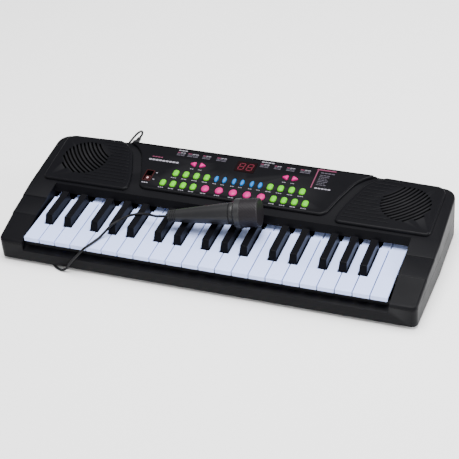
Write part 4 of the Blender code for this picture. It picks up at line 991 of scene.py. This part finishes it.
def make_ribs_and_cloth():
    """Level ribs between each pad's inner edge and its grille, and the cloth behind the slots."""
    for side, label in ((-1, "left"), (1, "right")):
        build = bmesh.new()
        clear = GRILLE_R + RIB_WIDTH
        for row in range(RIB_COUNT):
            up = RIB_FIRST_UP + row * RIB_PITCH
            start = pad_inner_edge(up) + RIB_FROM_EDGE
            reach = math.sqrt(max(clear ** 2 - (up - SPEAKER_UP) ** 2, (RIB_STOP * GRILLE_R) ** 2))
            stop = SPEAKER_X - reach
            corners = rectangle(side * (start + stop) / 2, up, stop - start, RIB_WIDTH)
            outline = rounded([(x, y, RIB_CORNER_R) for x, y in corners], 3)
            soft_slab(build, outline, PAD_RISE - RIB_HEIGHT, PAD_RISE + RIB_HEIGHT, RIB_EDGE_R, 3)
        panel_piece(f"speaker_ribs_{label}", build, PAD_BLACK)
        build = bmesh.new()
        cloth = oval(side * SPEAKER_X, SPEAKER_UP, CLOTH_D, CLOTH_D, GRILLE_POINTS)
        soft_slab(build, cloth, -2 * CLOTH_THICKNESS, -CLOTH_THICKNESS, CLOTH_THICKNESS / 2, 2)
        panel_piece(f"speaker_cloth_{label}", build, CLOTH_BLACK)


def panel_box(node):
    """Lowest and highest corners of a CAD node along the tilted panel's own axes."""
    points = [PANEL.inverted() @ vertex.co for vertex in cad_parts[node].data.vertices]
    return [[pick(point[axis] for point in points) for axis in range(3)] for pick in (min, max)]


def dashes(left, right, up, height, count):
    """A printed line from left to right, broken into a count of dashes like small print."""
    share = (right - left + PRINT_GAP) / count
    bars = []
    for number in range(count):
        start = left + number * share
        corners = rectangle(start + (share - PRINT_GAP) / 2, up, share - PRINT_GAP, height)
        bars.append(rounded([(x, y, height * DASH_CORNER) for x, y in corners], 3))
    return bars


def text_block(left, right, top, rows, pitch, height):
    """Rows of dashes, one under the other, every third one shorter."""
    lines = []
    for row in range(rows):
        count, share = TEXT_ROWS[row % len(TEXT_ROWS)]
        lines += dashes(left, left + (right - left) * share, top - row * pitch, height, count)
    return lines


def label_bars():
    """A short white line in front of every button."""
    bars = []
    for _, _, caps, half in BUTTONS.values():
        for number, cap in enumerate(caps):
            x, up = middle_of(cap)
            bars += dashes(x - half, x + half, up - LABEL_BELOW, LABEL_HEIGHT, 2 + number % 2)
    return bars


def make_prints():
    """Plain printed bars: no words, only the lines and blocks where a maker prints them."""
    white = label_bars()
    pink = []
    for lines, bars in ((WHITE_LINES, white), (PINK_LINES, pink)):
        for line in lines:
            bars += dashes(*line)
    pink.append(rectangle(*PINK_UPRIGHT))
    grey = text_block(*SIDE_TEXT) + dashes(*SIDE_HEADING)
    for left, right in HEADINGS:
        width = right - left
        pink += dashes(left, left + width * PINK_SHARE, HEADING_UP, PINK_HEIGHT, 1)
        white += dashes(left + width * WHITE_START, right, HEADING_UP, WHITE_HEIGHT, 2)
        grey += text_block(left, right, *HEADING_TEXT)
    for name, outlines, material in (("print_white", white, PRINT_WHITE), ("print_pink", pink, PRINT_PINK),
                                     ("print_grey", grey, PRINT_GREY)):
        mesh = prisms(name, outlines, PAD_RISE - PRINT_THICKNESS, PAD_RISE + PRINT_THICKNESS)
        mesh.transform(PANEL)
        add_piece(name, mesh, material, "root")


def segment(start, end):
    """One slim bar of a digit, with pointed ends, between two points."""
    start, end = Vector(start), Vector(end)
    along = (end - start).normalized()
    across = Vector((-along.y, along.x)) * DIGIT_STROKE / 2
    tip = along * DIGIT_STROKE / 2
    start, end = start + along * DIGIT_GAP, end - along * DIGIT_GAP
    return [tuple(point) for point in (start, start + tip - across, end - tip - across, end,
                                       end - tip + across, start + tip + across)]


def make_display():
    """The dark red lens, and two digits of seven thin bars each on its face."""
    finish_node("display_lens", LENS_RED)
    face = panel_box("display_lens")[1][2]
    half_w, half_h = DIGIT_SIZE[0] / 2, DIGIT_SIZE[1] / 2
    grid = {(col, row): (col * half_w, row * half_h) for col in (-1, 1) for row in (-1, 0, 1)}
    bars = [((-1, row), (1, row)) for row in (-1, 0, 1)]
    bars += [((col, row), (col, row + 1)) for col in (-1, 1) for row in (-1, 0)]
    outlines = []
    for middle in (-DIGIT_X, DIGIT_X):
        for start, end in bars:
            flat = segment(grid[start], grid[end])
            outlines.append([(middle + x + DIGIT_LEAN * y, DISPLAY_UP + y) for x, y in flat])
    mesh = prisms("digits", outlines, face - PRINT_THICKNESS, face + PRINT_THICKNESS / 2)
    mesh.transform(PANEL)
    add_piece("display_digits", mesh, DIGIT_RED, "root")


def make_switch():
    """The sliding knob with its pale dot, and the red rim round its slot."""
    knob = panel_box("power_switch")
    refined("power_switch", "power_switch", SWITCH_RED, KNOB_EDGE, 3)
    middle = [(knob[0][axis] + knob[1][axis]) / 2 for axis in (0, 1)]
    top = knob[1][2]
    build = bmesh.new()
    dome(build, oval(*middle, DOT_D, DOT_D, 24), top - DOT_SUNK, top + DOT_SHOULDER, top + DOT_PROUD)
    panel_piece("switch_dot", build, SWITCH_DOT, "power_switch")
    build = bmesh.new()
    outer = rounded([(x, y, RIM_CORNER_R) for x, y in rectangle(SWITCH_X, SWITCH_UP, *RIM_SIZE)], 4)
    soft_slab(build, outer, PAD_RISE - RIM_SUNK, PAD_RISE + RIM_PROUD, RIM_PROUD, 3)
    rim = panel_piece("switch_rim", build, SWITCH_RED)
    opening = rectangle(SWITCH_X, SWITCH_UP, *SWITCH_SLOT)
    cut(rim, prisms("slot", [opening], -PAD_CUT_DEPTH, CUT_DEPTH), PANEL)
    finish_mesh(rim, SWITCH_RED)


def make_buttons():
    """The caps of each colour group, which press together as one body."""
    low = BUTTON_TRAVEL + GAP
    for name, (material, slot, caps, _) in BUTTONS.items():
        build = bmesh.new()
        for cap in caps:
            dome(build, cap, low, PAD_RISE + BUTTON_SHOULDER, PAD_RISE + BUTTON_PROUD, CAP_STEPS)
        mesh = mesh_from(build, name)
        mesh.transform(PANEL)
        piece = add_piece(name + "_caps", mesh, material, name, smooth=60.0)
        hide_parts(name)


make_upper_case()
make_pads()
make_ribs_and_cloth()
make_buttons()
make_prints()
make_display()
make_switch()


# ---- microphone, plug and jack -------------------------------------------------------------------
def handle_radius(height):
    """Radius of the tapered handle at a height above its tail."""
    slope = (MIC_NECK_R - MIC_TAIL_R) / (MIC_HANDLE_LENGTH - MIC_NECK_LENGTH - MIC_TAIL_CHAMFER)
    return min(MIC_TAIL_R + slope * (height - MIC_TAIL_CHAMFER), MIC_NECK_R)


def grooves(line, places, width, depth, radius_at):
    """Adds square-bottomed grooves to a profile at the given heights."""
    for place in places:
        low, high = place - width / 2, place + width / 2
        line += [(radius_at(low), low), (radius_at(low) - depth, low + depth / 2),
                 (radius_at(high) - depth, high - depth / 2), (radius_at(high), high)]


def wire_weave(angle, radius, height):
    """Small bumps of a wire mesh, as far apart along the basket as round it."""
    wave = WEAVE_COUNT / MIC_HEAD_R
    return WEAVE_DEPTH * (math.cos(WEAVE_COUNT * angle) * math.cos(wave * height) - 1.0)


def make_grip():
    """The tapered handle, with grooves round its tail and one at its neck."""
    profile = [(MIC_TAIL_R - MIC_TAIL_CHAMFER, 0.0), (MIC_TAIL_R - MIC_ROUND, MIC_ROUND),
               (MIC_TAIL_R, MIC_TAIL_CHAMFER)]
    grooves(profile, TAIL_GROOVES, *TAIL_GROOVE, handle_radius)
    profile += [(handle_radius(height), height) for height in HANDLE_RINGS]
    neck = MIC_HANDLE_LENGTH - MIC_NECK_LENGTH
    grooves(profile, (neck - NECK_GROOVE_BELOW,), *NECK_GROOVE, handle_radius)
    profile += [(MIC_NECK_R, neck), (MIC_NECK_R, MIC_HANDLE_LENGTH - 3 * GAP),
                (MIC_NECK_R - GAP, MIC_HANDLE_LENGTH - GAP)]
    return add_piece("mic_grip", turned(profile), MIC_BLACK, "microphone")


def make_collar(head_edge, basket_foot):
    """The plain band between the handle and the basket."""
    profile = [(MIC_HEAD_R - MIC_HEAD_CHAMFER, MIC_HANDLE_LENGTH),
               (MIC_HEAD_R - COLLAR_ROUND, head_edge - MIC_ROUND),
               (MIC_HEAD_R, head_edge), (MIC_HEAD_R, head_edge + COLLAR_BAND),
               (MIC_HEAD_R - COLLAR_ROUND, basket_foot), (MIC_HEAD_R - COLLAR_LIP, basket_foot)]
    return add_piece("mic_collar", turned(profile), MIC_BLACK, "microphone")


def make_basket(foot):
    """The woven cylinder of the head, bent over at its rim into a nearly flat end face."""
    rim = MIC_HANDLE_LENGTH + MIC_HEAD_LENGTH - MIC_TAIL_CHAMFER
    side = MIC_HEAD_R - MIC_ROUND
    bend = MIC_TAIL_CHAMFER - GAP
    profile = [(side, foot + (rim - foot) * step / BASKET_RINGS) for step in range(BASKET_RINGS + 1)]
    for step in range(1, BASKET_BEND_RINGS + 1):
        angle = math.pi / 2 * step / BASKET_BEND_RINGS
        profile.append((side - bend * (1 - math.cos(angle)), rim + bend * math.sin(angle)))
    face = profile[-1][0]
    for step in range(1, BASKET_FACE_RINGS):
        share = 1 - step / BASKET_FACE_RINGS
        profile.append((face * share, profile[-1][1] + BASKET_FACE_STEP))
    mesh = turned(profile, BASKET_POINTS, texture=wire_weave)
    return add_piece("mic_basket", mesh, MIC_GRILLE_BLACK, "microphone")


def make_microphone():
    """Handle, collar and basket, which move together as one body."""
    grip = make_grip()
    head_edge = MIC_HANDLE_LENGTH + MIC_HEAD_CHAMFER
    basket_foot = head_edge + COLLAR_BAND + COLLAR_ROUND
    collar = make_collar(head_edge, basket_foot)
    basket = make_basket(basket_foot)
    for piece in (grip, collar, basket):
        piece.data.transform(MIC)
    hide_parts("mic_handle")
    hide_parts("mic_head")


def make_jack_nut():
    """Round ridged nut that holds the jack in the rear wall."""
    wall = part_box("mic_plug")[0][1] + PIN_LENGTH
    inner, outer = JACK_R + NUT_CLEAR, JACK_R + NUT_REACH
    shoulder = NUT_HEIGHT - NUT_CHAMFER
    profile = [(inner, NUT_FOOT), (outer, NUT_FOOT), (outer, shoulder), (outer - NUT_CHAMFER, NUT_HEIGHT),
               (inner + NUT_CHAMFER, NUT_HEIGHT), (inner, shoulder)]

    def ridges(angle, radius, _):
        return NUT_RIDGE_DEPTH * math.cos(NUT_RIDGES * angle) if radius > inner + NUT_OUTSIDE else 0.0

    mesh = turned(profile, 2 * NUT_RIDGES, hoop=True, texture=ridges)
    mesh.transform(Matrix.Translation((JACK_X, wall, JACK_Z)) @ Matrix.Rotation(-math.pi / 2, 4, "X"))
    add_piece("jack_nut", mesh, JACK_METAL, "root")


make_microphone()
make_jack_nut()
PLUG = refined("mic_plug", "root", PLUG_BLACK, PLUG_EDGE)


# ---- keys, lower case and the rest ---------------------------------------------------------------
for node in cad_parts:
    if node.startswith("white_key"):
        refined(node, node, KEY_WHITE, WHITE_KEY_EDGE, 3)
    elif node.startswith("black_key"):
        refined(node, node, KEY_BLACK, BLACK_KEY_EDGE, 3)

refined("lower_case", "root", CASE_BLACK, LOWER_CASE_EDGE, 3)
refined("battery_door", "battery_door", CASE_BLACK, DOOR_EDGE, 1)

for node, material in {
    "display_module": MODULE_BLACK, "main_board": BOARD_GREEN, "speaker_left": CONE_BLACK,
    "speaker_right": CONE_BLACK, "key_rod": ROD_STEEL, "contact_strip": STRIP_GREY,
    "battery_cells": CELL_WRAP, "mic_jack": JACK_METAL,
}.items():
    finish_node(node, material)


def make_screws():
    """Cross-headed screws that hold the two halves of the case together, seen from below."""
    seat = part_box("lower_case")[0][2] + SCREW_SEAT
    places = [(x, y) for x in SCREW_X for y in (FRONT + SCREW_FROM_FRONT, REAR - SCREW_FROM_REAR)]
    build = bmesh.new()
    for x, y in places:
        dome(build, oval(x, y, 2 * SCREW_R, 2 * SCREW_R), 0.0, SCREW_HEIGHT / 2, SCREW_HEIGHT)
    mesh = mesh_from(build, "screws")
    flip = Matrix.Translation((0.0, 0.0, seat)) @ Matrix.Diagonal((1.0, 1.0, -1.0, 1.0))
    mesh.transform(flip)
    mesh.flip_normals()
    screws = add_piece("case_screws", mesh, SCREW_STEEL, "root")
    for size in (CROSS_SIZE, CROSS_SIZE[::-1]):
        bars = [rectangle(x, y, *size) for x, y in places]
        cut(screws, prisms("cross", bars, seat - 2 * SCREW_HEIGHT, seat - SCREW_HEIGHT / 2))
    finish_mesh(screws, SCREW_STEEL, 50.0)


make_screws()
